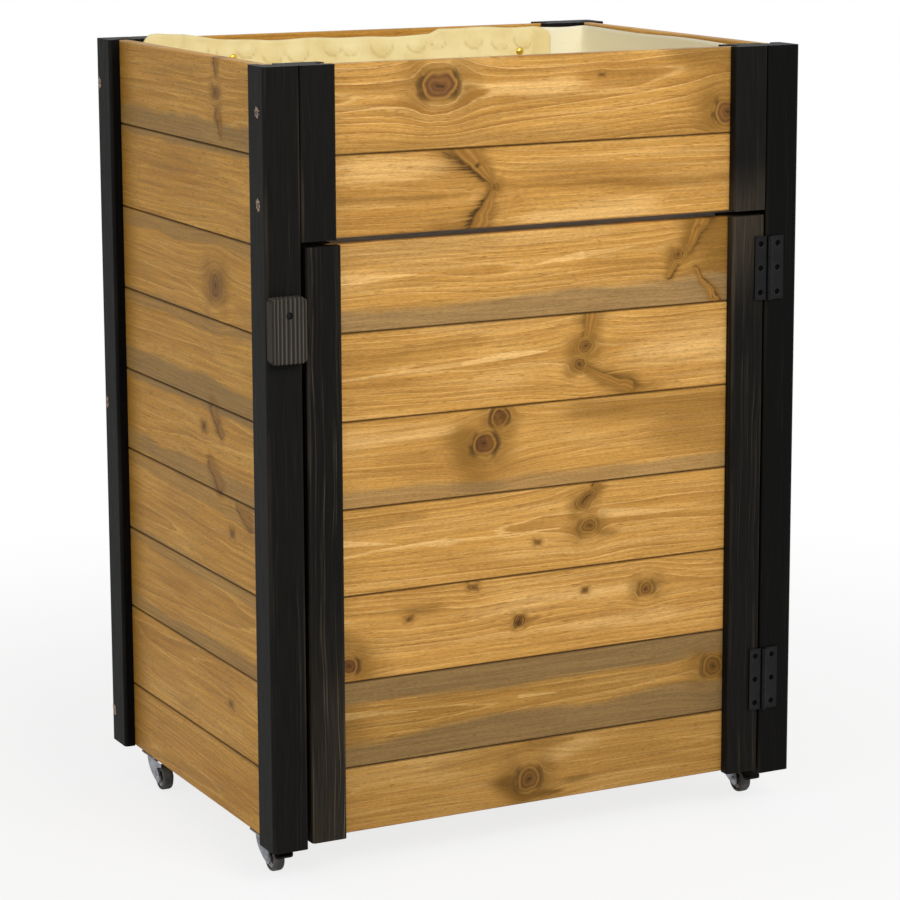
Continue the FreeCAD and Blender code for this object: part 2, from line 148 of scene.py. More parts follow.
# %% A helper that builds finishes
def paint(red, green, blue):
    """A colour from a paint card, as linear light: the lower part is a line, the rest a power curve."""
    card = np.array([red, green, blue]) / 255.0
    light = np.where(card <= 0.04045, card / 12.92, ((card + 0.055) / 1.055) ** 2.4)
    return (*light.tolist(), 1.0)


def wire_sum(operation, backward=False):
    """A method for a wire that adds a math node for the operation."""
    def act(wire, *others):
        return wire.owner.calc(operation, *(*others, wire) if backward else (wire, *others))
    return act


class Wire:
    """The output of a node. A sum on wires adds a math node, whose output is a new wire."""
    __add__, __sub__, __rsub__ = wire_sum("ADD"), wire_sum("SUBTRACT"), wire_sum("SUBTRACT", True)
    __mul__, __abs__ = wire_sum("MULTIPLY"), wire_sum("ABSOLUTE")
    __truediv__, __rtruediv__ = wire_sum("DIVIDE"), wire_sum("DIVIDE", True)

    def __init__(self, owner, socket):
        self.owner, self.socket = owner, socket


class Nodes:
    """A tree of nodes under construction. Most methods add a node and return its output as a wire."""

    def __init__(self, tree):
        self.tree = tree

    def feed(self, socket, value):
        """Give a socket a number or a colour, or link it to a wire."""
        if isinstance(value, Wire):
            self.tree.links.new(value.socket, socket)
        else:
            socket.default_value = value

    def add(self, kind, output, values, **settings):
        """A new node with its inputs fed by name or number. Gives the named output."""
        node = self.tree.nodes.new(kind)
        for key, value in settings.items():
            setattr(node, key, value)
        for key, value in values.items():
            self.feed(node.inputs[key], value)
        return Wire(self, node.outputs[output])

    def calc(self, operation, *values, clamp=False):
        return self.add("ShaderNodeMath", 0, dict(enumerate(values)), operation=operation, use_clamp=clamp)

    def split(self, vector):
        first = self.add("ShaderNodeSeparateXYZ", 0, {0: vector})
        return [Wire(self, socket) for socket in first.socket.node.outputs]

    def join(self, *parts):
        return self.add("ShaderNodeCombineXYZ", 0, dict(enumerate(parts)))

    def stretch(self, vector, scales, shift=(0, 0, 0)):
        return self.add("ShaderNodeMapping", 0, {"Vector": vector, "Scale": scales, "Location": shift})

    def noise(self, vector, scale=1.0, detail=2.0, roughness=0.5):
        values = {"Vector": vector, "Scale": scale, "Detail": detail, "Roughness": roughness}
        return self.add("ShaderNodeTexNoise", "Fac", values)

    def luck(self, value):
        """A random number for each whole value, always the same one."""
        return self.add("ShaderNodeTexWhiteNoise", "Value", {"W": value}, noise_dimensions="1D")

    def ease(self, value, low, high, start=0.0, end=1.0):
        """A smooth step of value from low to high, given back from start to end."""
        values = {"Value": value, "From Min": low, "From Max": high, "To Min": start, "To Max": end}
        return self.add("ShaderNodeMapRange", 0, values, interpolation_type="SMOOTHSTEP")

    def blend(self, share, first, second, mode="MIX"):
        """The first colour passing into the second. The node keeps its colours in the sockets 6, 7 and 2."""
        values = {"Factor": share, 6: first, 7: second}
        return self.add("ShaderNodeMix", 2, values, data_type="RGBA", blend_type=mode)

    def mark(self, name):
        return self.add("ShaderNodeAttribute", "Fac", {}, attribute_name=name)

    def show(self, output, share, first, second):
        """Two shaders mixed by share and sent to the named output."""
        mix = self.add("ShaderNodeMixShader", 0, {0: share, 1: first, 2: second})
        self.feed(self.tree.nodes[output].inputs["Surface"], mix)


class Finish(Nodes):
    """A material with one shader, whose colour, roughness and bumps come from wires."""

    def __init__(self, name, specular=0.3, metal=0.0):
        self.material = bpy.data.materials.new(name)
        self.material.use_nodes = True
        super().__init__(self.material.node_tree)
        self.shader = self.tree.nodes["Principled BSDF"]
        self.give(**{"Specular IOR Level": specular, "Metallic": metal})
        self.place = self.add("ShaderNodeTexCoord", "Object", {})

    def give(self, **values):
        """Feed inputs of the shader by their names."""
        for key, value in values.items():
            self.feed(self.shader.inputs[key], value)

    def done(self, colour, roughness, height, depth=0.0003, strength=0.5):
        """Feed the shader its colour, its roughness and bumps of a height. Gives the material."""
        values = {"Height": height, "Distance": depth, "Strength": strength}
        bumps = self.add("ShaderNodeBump", 0, values)
        self.give(**{"Base Color": colour, "Roughness": roughness, "Normal": bumps})
        return self.material


print("finish helpers ready")

# %% [markdown]
# ## Knots
# A knot is the foot of a branch. Cut straight through, it is a dark heart in a pale collar with a crescent
# on each side. Cut along its length, it is a brown wedge with one dark edge. Both are drawn from the distance
# to a line, so one function measures them and the rings can flow round them like water round a stone.

# %% A recipe for knots and branches
pine_honey = paint(200, 149, 74)
pine_pale = paint(232, 186, 116)
pine_brown = paint(160, 111, 48)
oil_and_shade_brown = paint(134, 94, 36)
oil_grey = paint(148, 119, 78)
knot_heart = paint(124, 82, 46)
knot_dark = paint(92, 54, 22)
branch_wood = paint(148, 102, 42)
knot_rim = paint(58, 38, 16)
plain_red = 0.6


def knot_place(f, u, v, knot):
    """Where a point lies beside a knot, which is a line from one point to another with a half width at each.
    Gives its distance in widths, how far it lies to a side and across the line, and the pull on the rings."""
    u0, v0, u1, v1, width0, width1 = [value / 1000 for value in knot[:6]]
    du, dv = u1 - u0, v1 - v0
    square = max(du * du + dv * dv, 1e-9)
    au, av = u - u0, v - v0
    along = f.calc("DIVIDE", au * du + av * dv, square, clamp=True)
    off_u, off_v = along * -du + au, along * -dv + av
    reach = f.calc("MAXIMUM", f.calc("SQRT", off_u * off_u + off_v * off_v), 1e-5)
    distance = reach / (along * (width1 - width0) + width0)
    near = 1.0 / f.calc("MAXIMUM", distance * distance, 1.0)
    across = (off_v * du - off_u * dv) / (reach * math.sqrt(square))
    return distance, off_u / reach, across, off_v * near


def paint_knot(f, colour, knot, place, ragged, thread, depth):
    """A round knot: heart, pale collar, dark crescents on both sides and a brown shade along the grain."""
    distance, side, _, _ = place
    red = knot[6] if len(knot) > 6 else plain_red
    flank = f.ease(abs(side), 0.25, 0.85)
    shade = f.ease(distance, 0.95, 2.7, 0.8, 0.0) * f.ease(thread, 0.3, 0.65, 0.45, 1.0)
    colour = f.blend(shade * (flank * 0.75 + 0.25), colour, oil_and_shade_brown)
    ripple = f.calc("SINE", distance * 23.0 + ragged * 6.0)
    sap = f.blend(f.ease(ripple, -0.8, 0.9, 0.5, 0.9), pine_honey, oil_and_shade_brown)
    colour = f.blend(f.ease(distance, 0.85, 1.1, 0.85, 0.0), colour, sap)
    crescent = f.ease(distance, 0.66, 0.8) * f.ease(distance, 0.86, 1.15, 1.0, 0.0)
    strength = depth * (0.5 + 0.5 * min(red, 1.0))
    crescent = crescent * (flank * (0.75 * strength) + 0.1 * strength)
    crescent = crescent * f.ease(ragged, 0.3, 0.5, 0.35, 0.95)
    colour = f.blend(crescent, colour, knot_rim)
    pale, deep = (knot_heart, knot_dark) if red > 1 else (oil_and_shade_brown, knot_heart)
    heart_base = tuple(a + (red % 1) * (b - a) for a, b in zip(pale, deep))
    heart = f.blend(f.ease(ripple, -0.9, 0.9, 0.0, 0.4), heart_base, knot_rim)
    heart = f.blend(f.ease(thread, 0.35, 0.7, 0.0, 0.3), heart, pine_brown)
    colour = f.blend(f.ease(distance, 0.52, 0.74, 0.96, 0.0), colour, heart)
    return f.blend(f.ease(distance, 0.03, 0.2, 0.75, 0.0), colour, knot_rim)


def paint_branch(f, colour, branch, place, ragged, thread, depth):
    """A branch cut along its length: brown wood with one dark edge, feathered into the grain beside it."""
    distance, _, across, _ = place
    dark_side = branch[6] if len(branch) > 6 else 1
    turn = across * dark_side
    feather = distance + thread * 1.8 - 0.9
    shade = f.ease(feather, 0.7, 3.0, 0.85, 0.0) * f.ease(turn, -0.6, 0.6, 0.8, 1.0)
    colour = f.blend(shade, colour, oil_and_shade_brown)
    grain = f.ease(f.calc("SINE", distance * across * 9.0 + ragged * 5.0), -0.5, 1.0, 0.0, 0.45)
    wood = f.blend(grain, branch_wood, pine_honey)
    colour = f.blend(f.ease(distance, 0.55, 1.0, 0.7, 0.0), colour, wood)
    edge = f.ease(distance, 0.5, 0.9) * f.ease(feather, 0.9, 1.7, 1.0, 0.0)
    edge = edge * f.ease(turn, -0.2, 0.6, 0.12 * depth, 0.85 * depth)
    colour = f.blend(edge * f.ease(ragged, 0.3, 0.55, 0.45, 1.0), colour, knot_rim)
    pocket = f.ease(distance, 0.15, 0.6, 1.0, 0.0) * f.ease(ragged, 0.6, 0.72, 0.0, 0.75 * depth)
    return f.blend(pocket, colour, knot_rim)


print("knot recipes ready")

# %% [markdown]
# ## Oiled pine
# A board is sawn from a trunk, so its pattern is a cut through growth rings: circles round a pith that lies
# somewhere behind the board. Where the pith wanders, the rings close in long pale tongues. The pattern is a
# sum on the place of a point, so it runs through the board and round its edges. The oil leaves a satin gloss.

# %% A recipe for oiled pine boards
board_pitch = 0.095
joint_start, joint_full, joint_dark = 0.0456, 0.0473, 0.75
ring_step = 0.0047
stain_and_shade_draw = 0.4


def paint_rings(f, ring, seed, contrast):
    """Brown early wood and pale late wood by the place in a ring. Gives the colour and the late wood."""
    phase = f.calc("FRACT", ring)
    ring_luck = f.luck(f.calc("FLOOR", ring) + seed)
    early = f.ease(phase, 0.0, 0.7) * f.ease(phase, 0.74, 0.86, 1.0, 0.0) * (ring_luck * 0.9 + 0.1)
    late = f.ease(phase, 0.78, 0.86) * f.ease(phase, 0.9, 0.99, 1.0, 0.0) * (ring_luck * 0.7 + 0.3)
    colour = f.blend(early * (0.75 * contrast), pine_honey, pine_brown)
    return f.blend(late * (0.8 * contrast), colour, pine_pale), late


def paint_weather(f, colour, u, z, wobble, streak, stains_and_shade, tongues, greys):
    """Stains and painted shade drawn out along the grain, pale tongues of rings cut at a low angle, and
    greyed bands.
    """
    # Each stain darkens or clears a place; the band beside the rear post of the left wall is painted shade.
    for stain in stains_and_shade:
        drawn = (stain[0] * stain_and_shade_draw, stain[1], stain[2] * stain_and_shade_draw, *stain[3:6])
        distance = knot_place(f, u * stain_and_shade_draw, z + (wobble - 0.5) * 0.02, drawn)[0]
        amount = f.ease(distance + (streak - 0.5) * 1.4, 0.1, 1.5, abs(stain[6]), 0.0)
        colour = f.blend(amount, colour, oil_and_shade_brown if stain[6] > 0 else pine_pale)
    for tongue in tongues:
        distance = knot_place(f, u, z + (wobble - 0.5) * 0.006, tongue)[0]
        colour = f.blend(f.ease(distance, 0.75, 1.15, tongue[6], 0.0), colour, pine_pale)
    for u_low, z_low, u_high, z_high, spread, strength in greys:
        lean = (z_high - z_low) / (u_high - u_low)
        line = z - (u * lean + (z_low - lean * u_low) / 1000) + (wobble - 0.5) * 0.026
        colour = f.blend(f.ease(abs(line) / (spread / 1000), 0.7, 1.15, strength, 0.0), colour, oil_grey)
    return colour


def oiled_pine(name, grain, top, seed, pith=None, knots=(), branches=(), tongues=(), stains_and_shade=(), greys=(),
               tint=None, contrast=1.0, marks=1.0):
    """Pine with rings of radius sqrt(h h + d d) round a pith at depth d, h being the height from it. Knots
    are round, branches are wedges, tongues are pale rings cut at a low angle, and a stain darkens a place,
    also as painted shade, or, if negative, clears it."""
    f = Finish(name, specular=0.12)
    x, y, z = f.split(f.place)
    u = x if grain == "X" else y
    board = f.calc("FLOOR", (top - z) / board_pitch)
    number = board + seed
    shift = number * 3.7
    height = z - (top - (board + 0.5) * board_pitch)
    if pith is None:
        pith_height = f.luck(number) * 0.07 - 0.035
        pith_depth = f.luck(number + 0.5) * 0.05 + 0.012
        slope = f.luck(number + 0.25) * 0.05 - 0.025
    else:
        pith_height, pith_depth, slope = pith

    def noise_at(along, height_scale, detail, level=z):
        """Noise with its own scale along the grain and across it, different for each board."""
        return f.noise(f.join(u * along, level * height_scale, shift), detail=detail)

    ragged, turning = noise_at(70.0, 70.0, 3.0), noise_at(32.0, 32.0, 1.0)
    knot_u = u + (ragged - 0.5) * 0.010
    knot_z = z - (turning - 0.5) * 0.012
    knot_places = [knot_place(f, knot_u, knot_z, knot) for knot in knots]
    branch_places = [knot_place(f, knot_u, knot_z, branch) for branch in branches]
    bent = height
    for place in knot_places:
        bent = bent - place[3]
    for place in branch_places:
        bent = bent - place[3] * 0.7

    wander = f.noise(f.join(u * 2.4, shift, 0.0), detail=1.0)
    wobble = noise_at(8.0, 40.0, 3.0)
    from_pith = bent - pith_height + (wander - 0.5) * 0.05
    radius = f.calc("SQRT", from_pith * from_pith + pith_depth * pith_depth)
    ring = (radius + u * slope + wobble * 0.006) / ring_step
    patch, fleck, pore = noise_at(4.0, 20.0, 4.0), noise_at(70.0, 620.0, 1.0), noise_at(210.0, 900.0, 2.0)
    fibre, streak = noise_at(16.0, 1000.0, 3.0, bent), noise_at(5.0, 150.0, 3.0, bent)
    thread = noise_at(9.0, 420.0, 2.0, bent)
    colour, late = paint_rings(f, ring, seed, contrast)
    for value, low, high, share, tone in ((streak, 0.5, 0.72, 0.32, pine_brown),
                                          (streak, 0.5, 0.3, 0.3, pine_pale),
                                          (patch, 0.5, 0.75, 0.5, pine_brown),
                                          (patch, 0.47, 0.25, 0.45, pine_pale)):
        colour = f.blend(f.ease(value, low, high, 0.0, share), colour, tone)
    colour = paint_weather(f, colour, u, z, wobble, streak, stains_and_shade, tongues, greys)
    grain_light = f.ease(fibre, 0.25, 0.75, -0.1, 0.08) + f.ease(thread, 0.3, 0.7, 0.88, 1.1)
    grain_light = grain_light + f.ease(pore, 0.25, 0.75, -0.12, 0.12)
    colour = f.blend(1.0, colour, f.join(grain_light, grain_light, grain_light), "MULTIPLY")
    colour = f.blend(f.ease(fleck, 0.63, 0.72, 0.0, 0.5), colour, oil_and_shade_brown)

    for branch, place in zip(branches, branch_places):
        colour = paint_branch(f, colour, branch, place, ragged, thread, marks)
    for knot, place in zip(knots, knot_places):
        colour = paint_knot(f, colour, knot, place, ragged, thread, marks)
    joint = f.ease(abs(height), joint_start, joint_full, 0.0, joint_dark)
    joint = joint * f.ease(top - z, 0.0022, 0.004)
    colour = f.blend(joint, colour, knot_rim)
    if tint:
        colour = f.blend(1.0, colour, (*tint, 1.0), "MULTIPLY")
    return f.done(colour, f.ease(fibre, 0.2, 0.8, 0.4, 0.58), late * 0.8 + fibre)


print("pine recipe ready, rings every", ring_step * 1000, "mm")

# %% [markdown]
# ## The front boards and the door
# The nine boards of the front are the face of the cabinet, so each gets its own cut: the height and depth
# of its pith, its knots and the greyed bands where the oil has weathered. Knots are given in millimetres
# as two ends and two half widths, which makes a round knot, a leaning one or the wedge of a split branch.

# %% Finish the front boards
wall_top = 0.877
door_top = 0.6885
front_boards = {
    "front_board_upper": dict(
        pith=(0.016, 0.020, 0.020), contrast=1.1,
        knots=[(-121, 850, -114, 850, 23, 23, 0.9), (238, 806, 240, 806, 20, 20, 0.8),
               (79, 855, 80, 855, 3, 3)],
        stains_and_shade=[(190, 872, 240, 866, 12, 20, 0.7), (225, 840, 240, 795, 16, 24, 0.4),
                (-30, 846, 30, 846, 8, 10, -0.7), (-240, 788, 240, 790, 9, 9, 0.35)]),
    "front_board_lower": dict(
        pith=(-0.002, 0.030, 0.014), contrast=0.7,
        knots=[(-52, 739, -51, 739, 6, 6, 0.2)],
        branches=[(-52, 739, -90, 784, 3, 17, 1), (-52, 739, -72, 694, 3, 12, -1)],
        stains_and_shade=[(-40, 740, 240, 734, 3, 6, 0.55), (-115, 698, -95, 696, 8, 12, 0.6),
                (-230, 735, -120, 732, 6, 5, 0.4), (-200, 765, -120, 765, 14, 10, -0.6),
                (10, 705, 120, 708, 12, 14, -0.6)]),
    "door_board_1": dict(
        pith=(0.007, 0.015, 0.012), contrast=0.8, marks=0.7,
        knots=[(178, 652, 177, 650, 10, 10, 0.2)],
        branches=[(172, 640, 166, 628, 5, 4), (190, 655, 212, 692, 5, 12, -1),
                  (200, 632, 227, 596, 2, 5, 1)],
        tongues=[(-250, 648, -145, 651, 7, 0.5, 0.7), (-2, 652, 55, 658, 0.5, 4.5, 0.7),
                 (55, 658, 125, 664, 4.5, 0.5, 0.5)],
        stains_and_shade=[(225, 690, 240, 600, 16, 22, 0.9), (198, 664, 214, 690, 7, 12, 0.9),
                (-230, 676, -60, 680, 12, 8, 0.35)],
        greys=[(-232, 596, 235, 606, 22, 0.8)]),
    "door_board_2": dict(
        pith=(0.006, 0.018, -0.012), contrast=0.8, marks=0.5,
        knots=[(58, 556, 60, 557, 12, 12, 0.3), (53, 536, 54, 535, 11, 10, 0.3)],
        branches=[(62, 566, 68, 592, 6, 10), (64, 530, 116, 507, 3, 8, 1)],
        tongues=[(-250, 544, -90, 549, 1, 2.5, 0.55), (-90, 549, -30, 555, 2.5, 4.5, 0.9),
                 (-30, 555, 14, 556, 4.5, 0.5, 0.9)],
        stains_and_shade=[(90, 516, 125, 503, 8, 12, 0.6), (-230, 566, -80, 572, 10, 8, 0.4),
                (160, 545, 240, 548, 20, 24, -0.5)]),
    "door_board_3": dict(
        pith=(0.017, 0.022, 0.010), contrast=0.6,
        knots=[(-46, 486, -45, 486, 14, 13, 1.8), (-65, 459, -64, 459, 19, 19, 1.8)],
        stains_and_shade=[(-95, 470, -80, 440, 10, 12, 0.7), (-75, 424, -70, 414, 10, 14, 0.7),
                (60, 486, 240, 480, 12, 22, 0.6), (180, 450, 240, 440, 20, 26, 0.5),
                (-220, 478, -120, 480, 10, 8, -0.5)],
        greys=[(-232, 408, 235, 404, 17, 0.6)]),
    "door_board_4": dict(
        pith=(0.006, 0.018, -0.014), contrast=0.9,
        knots=[(57, 382, 66, 389, 10, 9, 0.2), (64, 355, 68, 353, 13, 12, 0.1), (1, 344, 2, 344, 4, 4)],
        branches=[(68, 390, 76, 398, 4, 6)],
        tongues=[(-240, 367, -172, 361, 5, 0.5, 0.75), (-240, 352, -140, 358, 1.2, 2, 0.6),
                 (-140, 358, 30, 356, 2, 0.8, 0.7), (82, 368, 190, 361, 6, 0.5, 0.6)],
        stains_and_shade=[(84, 346, 92, 344, 5, 5, 0.6), (-230, 385, -150, 388, 9, 6, 0.35)]),
    "door_board_5": dict(
        pith=(0.014, 0.014, 0.016), contrast=0.7,
        knots=[(-79, 303, -78, 303, 5, 5), (-158, 275, -156, 276, 4, 4), (-22, 254, -21, 257, 6, 6, 1.9),
               (140, 276, 141, 276, 12, 12, 0.2), (61, 281, 62, 281, 4, 4),
               (-229, 232, -228, 232, 15, 14, 1.6)],
        stains_and_shade=[(-148, 285, -130, 287, 8, 8, 0.6), (-12, 260, 0, 262, 4, 3, 0.7),
                (-236, 262, -222, 230, 10, 16, 0.6), (155, 276, 165, 276, 6, 4, 0.5),
                (60, 242, 160, 244, 8, 10, -0.4)]),
    "door_board_6": dict(
        pith=(0.006, 0.016, 0.014), contrast=0.7, tint=(0.74, 0.74, 0.7),
        knots=[(229, 173, 230, 173, 18, 17, 0.2)],
        tongues=[(-22, 171, 24, 169, 2.2, 1.0, 0.85), (-240, 176, -147, 170, 5, 0.5, 0.55)],
        stains_and_shade=[(232, 138, 236, 124, 12, 14, 0.9), (-238, 180, -225, 150, 12, 12, 0.5)],
        greys=[(-232, 209, 235, 204, 20, 0.85), (-232, 126, 235, 138, 22, 0.85)]),
    "door_board_7": dict(
        pith=(0.020, 0.022, 0.010), contrast=0.6, tint=(0.74, 0.74, 0.74),
        knots=[(-10, 75, -9, 75, 19, 18, 0.4)],
        stains_and_shade=[(-34, 72, -14, 54, 9, 9, 1.0), (-12, 54, 24, 52, 6, 4, 1.0),
                (20, 96, 60, 108, 5, 8, -0.5), (-4, 112, 40, 114, 8, 4, 0.5),
                (-110, 105, -30, 108, 8, 5, 0.4), (45, 66, 60, 68, 5, 4, 0.5)]),
}


def dress(node, finish):
    """Give a node of the model one finish in place of what it has."""
    nodes[node].data.materials.clear()
    nodes[node].data.materials.append(finish)


for count, (node, cut) in enumerate(front_boards.items(), 1):
    top = door_top if node.startswith("door") else wall_top
    dress(node, oiled_pine("oiled_" + node, "X", top, 10 * count + 1, **cut))
print(len(front_boards), "front boards,", sum(len(cut["knots"]) for cut in front_boards.values()), "knots")

# %% [markdown]
# ## The side and back walls
# A wall is nine boards in one node. The recipe counts the boards down from the top and draws a pith for each
# from its number, so that no two boards of a wall look the same. A few knots are given.

# %% Finish the walls
wall_tint = (0.98, 0.95, 0.72)
walls = {
    "side_boards_left": dict(
        grain="Y", seed=101,
        knots=[(-76, 842, -77, 841, 9, 9), (-68, 630, -68, 629, 20, 19, 0.2), (-28, 468, -29, 467, 6, 6),
               (-93, 167, -92, 167, 5, 5), (-104, 364, -103, 364, 5, 5)],
        branches=[(-82, 817, -90, 797, 6, 3), (-78, 876, -79, 864, 6, 4), (-56, 493, -77, 468, 7, 5),
                  (-46, 432, -70, 410, 6, 8), (-119, 394, -152, 386, 3, 7)],
        # This band at the rear edge, the full height of the wall, is painted shade beside the rear post.
        stains_and_shade=[(207, 870, 207, 50, 16, 16, 0.6)],
        greys=[(-191, 792, 205, 790, 16, 0.75), (-191, 506, 205, 508, 18, 0.8),
               (-191, 412, 205, 416, 14, 0.6), (-191, 222, 205, 220, 9, 0.6),
               (-191, 682, 205, 678, 10, 0.5), (-191, 585, 205, 588, 8, 0.5),
               (-191, 388, 205, 394, 9, 0.4), (-191, 300, 205, 304, 9, 0.5)]),
    "side_boards_right": dict(
        grain="Y", seed=131,
        knots=[(-90, 800, -89, 800, 15, 15), (-20, 540, -19, 540, 14, 14), (120, 360, 121, 360, 12, 12),
               (30, 110, 31, 110, 15, 15)],
        branches=[(60, 655, 76, 630, 4, 9), (-130, 260, -112, 236, 3, 9)],
        greys=[(-191, 604, 205, 600, 15, 0.7), (-191, 318, 205, 322, 16, 0.7),
               (-191, 792, 205, 788, 10, 0.5)]),
    "back_boards": dict(
        grain="X", seed=161,
        knots=[(150, 745, 151, 745, 17, 17), (60, 470, 61, 470, 15, 15), (-180, 360, -179, 360, 11, 11),
               (-40, 105, -39, 105, 16, 16)],
        branches=[(-120, 640, -96, 612, 3, 10), (190, 270, 170, 246, 3, 9)],
        greys=[(-243, 700, 243, 696, 15, 0.7), (-243, 412, 243, 418, 16, 0.7),
               (-243, 222, 243, 226, 10, 0.5)]),
}
for node, cut in walls.items():
    dress(node, oiled_pine("oiled_" + node, top=wall_top, contrast=0.6, marks=0.6, tint=wall_tint, **cut))
print(len(walls), "walls")

# %% [markdown]
# ## Black-stained posts and stiles
# The frame is the same pine under a thin black stain. The stain sinks into the soft pale wood and slides
# off the hard rings, so fine brown streaks run up the post, and it wears pale along the arrises.

# %% Finish the posts and stiles
stain_black = paint(23, 22, 20)
stain_deep = paint(12, 12, 11)
stain_thin = paint(84, 74, 60)
bare_streak = paint(150, 130, 98)


def black_pine(name, low, high, streaks, seed, rubbed=None, dim=None):
    """Streaks of noise drawn out along the post and swayed sideways, with paler arrises. A rubbed end goes
    from a start to an end height and may have bare streaks. Dim darkens the whole colour as painted shade."""
    f = Finish(name, specular=0.06)
    x, y, z = f.split(f.place)
    middle, half = (low + high) / 2, (high - low) / 2
    sway = f.noise(f.stretch(f.place, (12.0, 12.0, 5.0), (seed, 0, 0)), detail=2.0)
    leaning = f.join(x + sway * 0.016, y, z)
    rings = f.noise(f.stretch(leaning, (330.0, 330.0, 2.5), (seed, 0, 0)), detail=2.0)
    fibre = f.noise(f.stretch(leaning, (1300.0, 1300.0, 18.0), (seed, 0, 0)), detail=3.0)
    patch = f.noise(f.stretch(f.place, (16.0, 16.0, 5.0), (0, seed, 0)), detail=3.0)
    thin = f.ease(rings, 0.54 - 0.08 * streaks, 0.72 - 0.06 * streaks) * f.ease(fibre, 0.35, 0.6)
    thin = thin * f.ease(patch, 0.35, 0.65, 0.15, 1.0)
    colour = f.blend(f.ease(fibre, 0.3, 0.7), stain_deep, stain_black)
    colour = f.blend(thin * streaks, colour, stain_thin)
    side_x = half[0] - abs(x - middle[0])
    side_y = half[1] - abs(y - middle[1])
    arris = f.ease(f.calc("MAXIMUM", side_x, side_y), 0.0012, 0.0045, 1.0, 0.0)
    worn = arris * f.ease(patch, 0.45, 0.66, 0.03, 0.3)
    colour = f.blend(worn, colour, stain_thin)
    if rubbed:
        start, end, bare = rubbed
        share = f.ease(z, start, end) * f.ease(patch, 0.3, 0.6, 0.5, 1.0)
        colour = f.blend(share * f.ease(fibre, 0.3, 0.7, 0.2, 0.5), colour, stain_thin)
        colour = f.blend(share * f.ease(rings, 0.56, 0.66, 0.0, bare), colour, bare_streak)
    # Painted shade: dim multiplies the whole colour darker.
    if dim:
        colour = f.blend(1.0, colour, (dim, dim, dim, 1.0), "MULTIPLY")
    return f.done(colour, f.ease(fibre, 0.3, 0.7, 0.45, 0.6), rings + fibre * 0.5)


stained = {"door_stile_left": 0.6, "door_stile_right": 0.45, "front_stile_left": 0.3,
           "front_stile_right": 0.3}
stained.update({node: 0.22 for node in nodes if node.startswith(("post_", "back_stile"))})
# Painted shade: these two posts are multiplied darker as a whole, the rear-left one for the shade at the back
# of the cabinet.
painted_shade_dims = {"post_front_right": 0.4, "post_rear_left": 0.45}
rubbed_ends = {"door_stile_right": (0.56, 0.69, 0.0), "front_stile_right": (0.76, 0.70, 0.0),
               "door_stile_left": (0.35, 0.03, 0.45)}
for seed, (node, streaks) in enumerate(stained.items()):
    low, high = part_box(node)
    dress(node, black_pine("stained_" + node, low, high, streaks, 3.1 * seed,
                           rubbed_ends.get(node), painted_shade_dims.get(node)))
print(len(stained), "posts and stiles")

# %% [markdown]
# ## Plain pine inside
# The rails, slats, bearers and floor boards are never seen closed, so they are planed but not oiled: pale
# wood with a quiet grain along its length.

# %% Finish the inside timber
raw_pine = paint(214, 182, 132), paint(186, 148, 96)
# Painted light: the front rail lies in shade in the gap above the door, so its colour is painted near white.
painted_light_pine = paint(240, 232, 218), paint(222, 208, 186)


def plain_pine(name, grain, pale, dark):
    """Quiet rings and fibres drawn out along the grain."""
    f = Finish(name, specular=0.2)
    lengthwise = (5.0, 160.0, 160.0) if grain == "X" else (160.0, 5.0, 160.0)
    rings = f.noise(f.stretch(f.place, lengthwise), detail=2.0)
    fibre = f.noise(f.stretch(f.place, [4 * value for value in lengthwise]), detail=2.0)
    colour = f.blend(f.ease(rings, 0.4, 0.65), pale, dark)
    colour = f.blend(f.ease(fibre, 0.45, 0.8, 0.0, 0.4), colour, paint(160, 122, 76))
    return f.done(colour, f.ease(fibre, 0.2, 0.8, 0.6, 0.8), fibre)


plain = {"front_rail": "X", "back_rail": "X", "planter_slats": "Y", "base_bearers": "Y",
         "storage_floor_boards": "X"}
for node, grain in plain.items():
    # The front rail takes the pale painted light.
    tones = painted_light_pine if node == "front_rail" else raw_pine
    dress(node, plain_pine("plain_" + node, grain, *tones))
print(len(plain), "inside timbers")

# %% [markdown]
# ## Metal, rubber and plastic
# Zinc on a stamped fork is dull and cloudy, black paint on a hinge is satin with a little orange peel, and
# the tread is matt with dust in it. Noise at two sizes gives each its unevenness.

# %% Finish the hardware
def hardware(name, base, shade, roughness, metal=0.0, specular=0.35, cloud=90.0):
    """Two tones in clouds of noise, with a fine grain in the gloss and the surface."""
    f = Finish(name, specular=specular, metal=metal)
    clouds = f.noise(f.place, cloud, 3.0)
    grain = f.noise(f.place, 1500.0, 2.0)
    colour = f.blend(f.ease(clouds, 0.35, 0.7), base, shade)
    gloss = f.ease(clouds, 0.3, 0.7, roughness - 0.08, roughness + 0.08)
    gloss = gloss + f.ease(grain, 0.2, 0.8, -0.04, 0.04)
    return f.done(colour, gloss, grain, 0.0001, 0.4)


zinc = hardware("zinc_plate", paint(150, 153, 158), paint(112, 115, 120), 0.42, metal=0.9)
black_paint = hardware("black_painted_steel", paint(15, 15, 16), paint(8, 8, 9), 0.4, specular=0.14)
hinge_paint = hardware("hinge_paint", paint(11, 11, 12), paint(6, 6, 7), 0.32, specular=0.18)
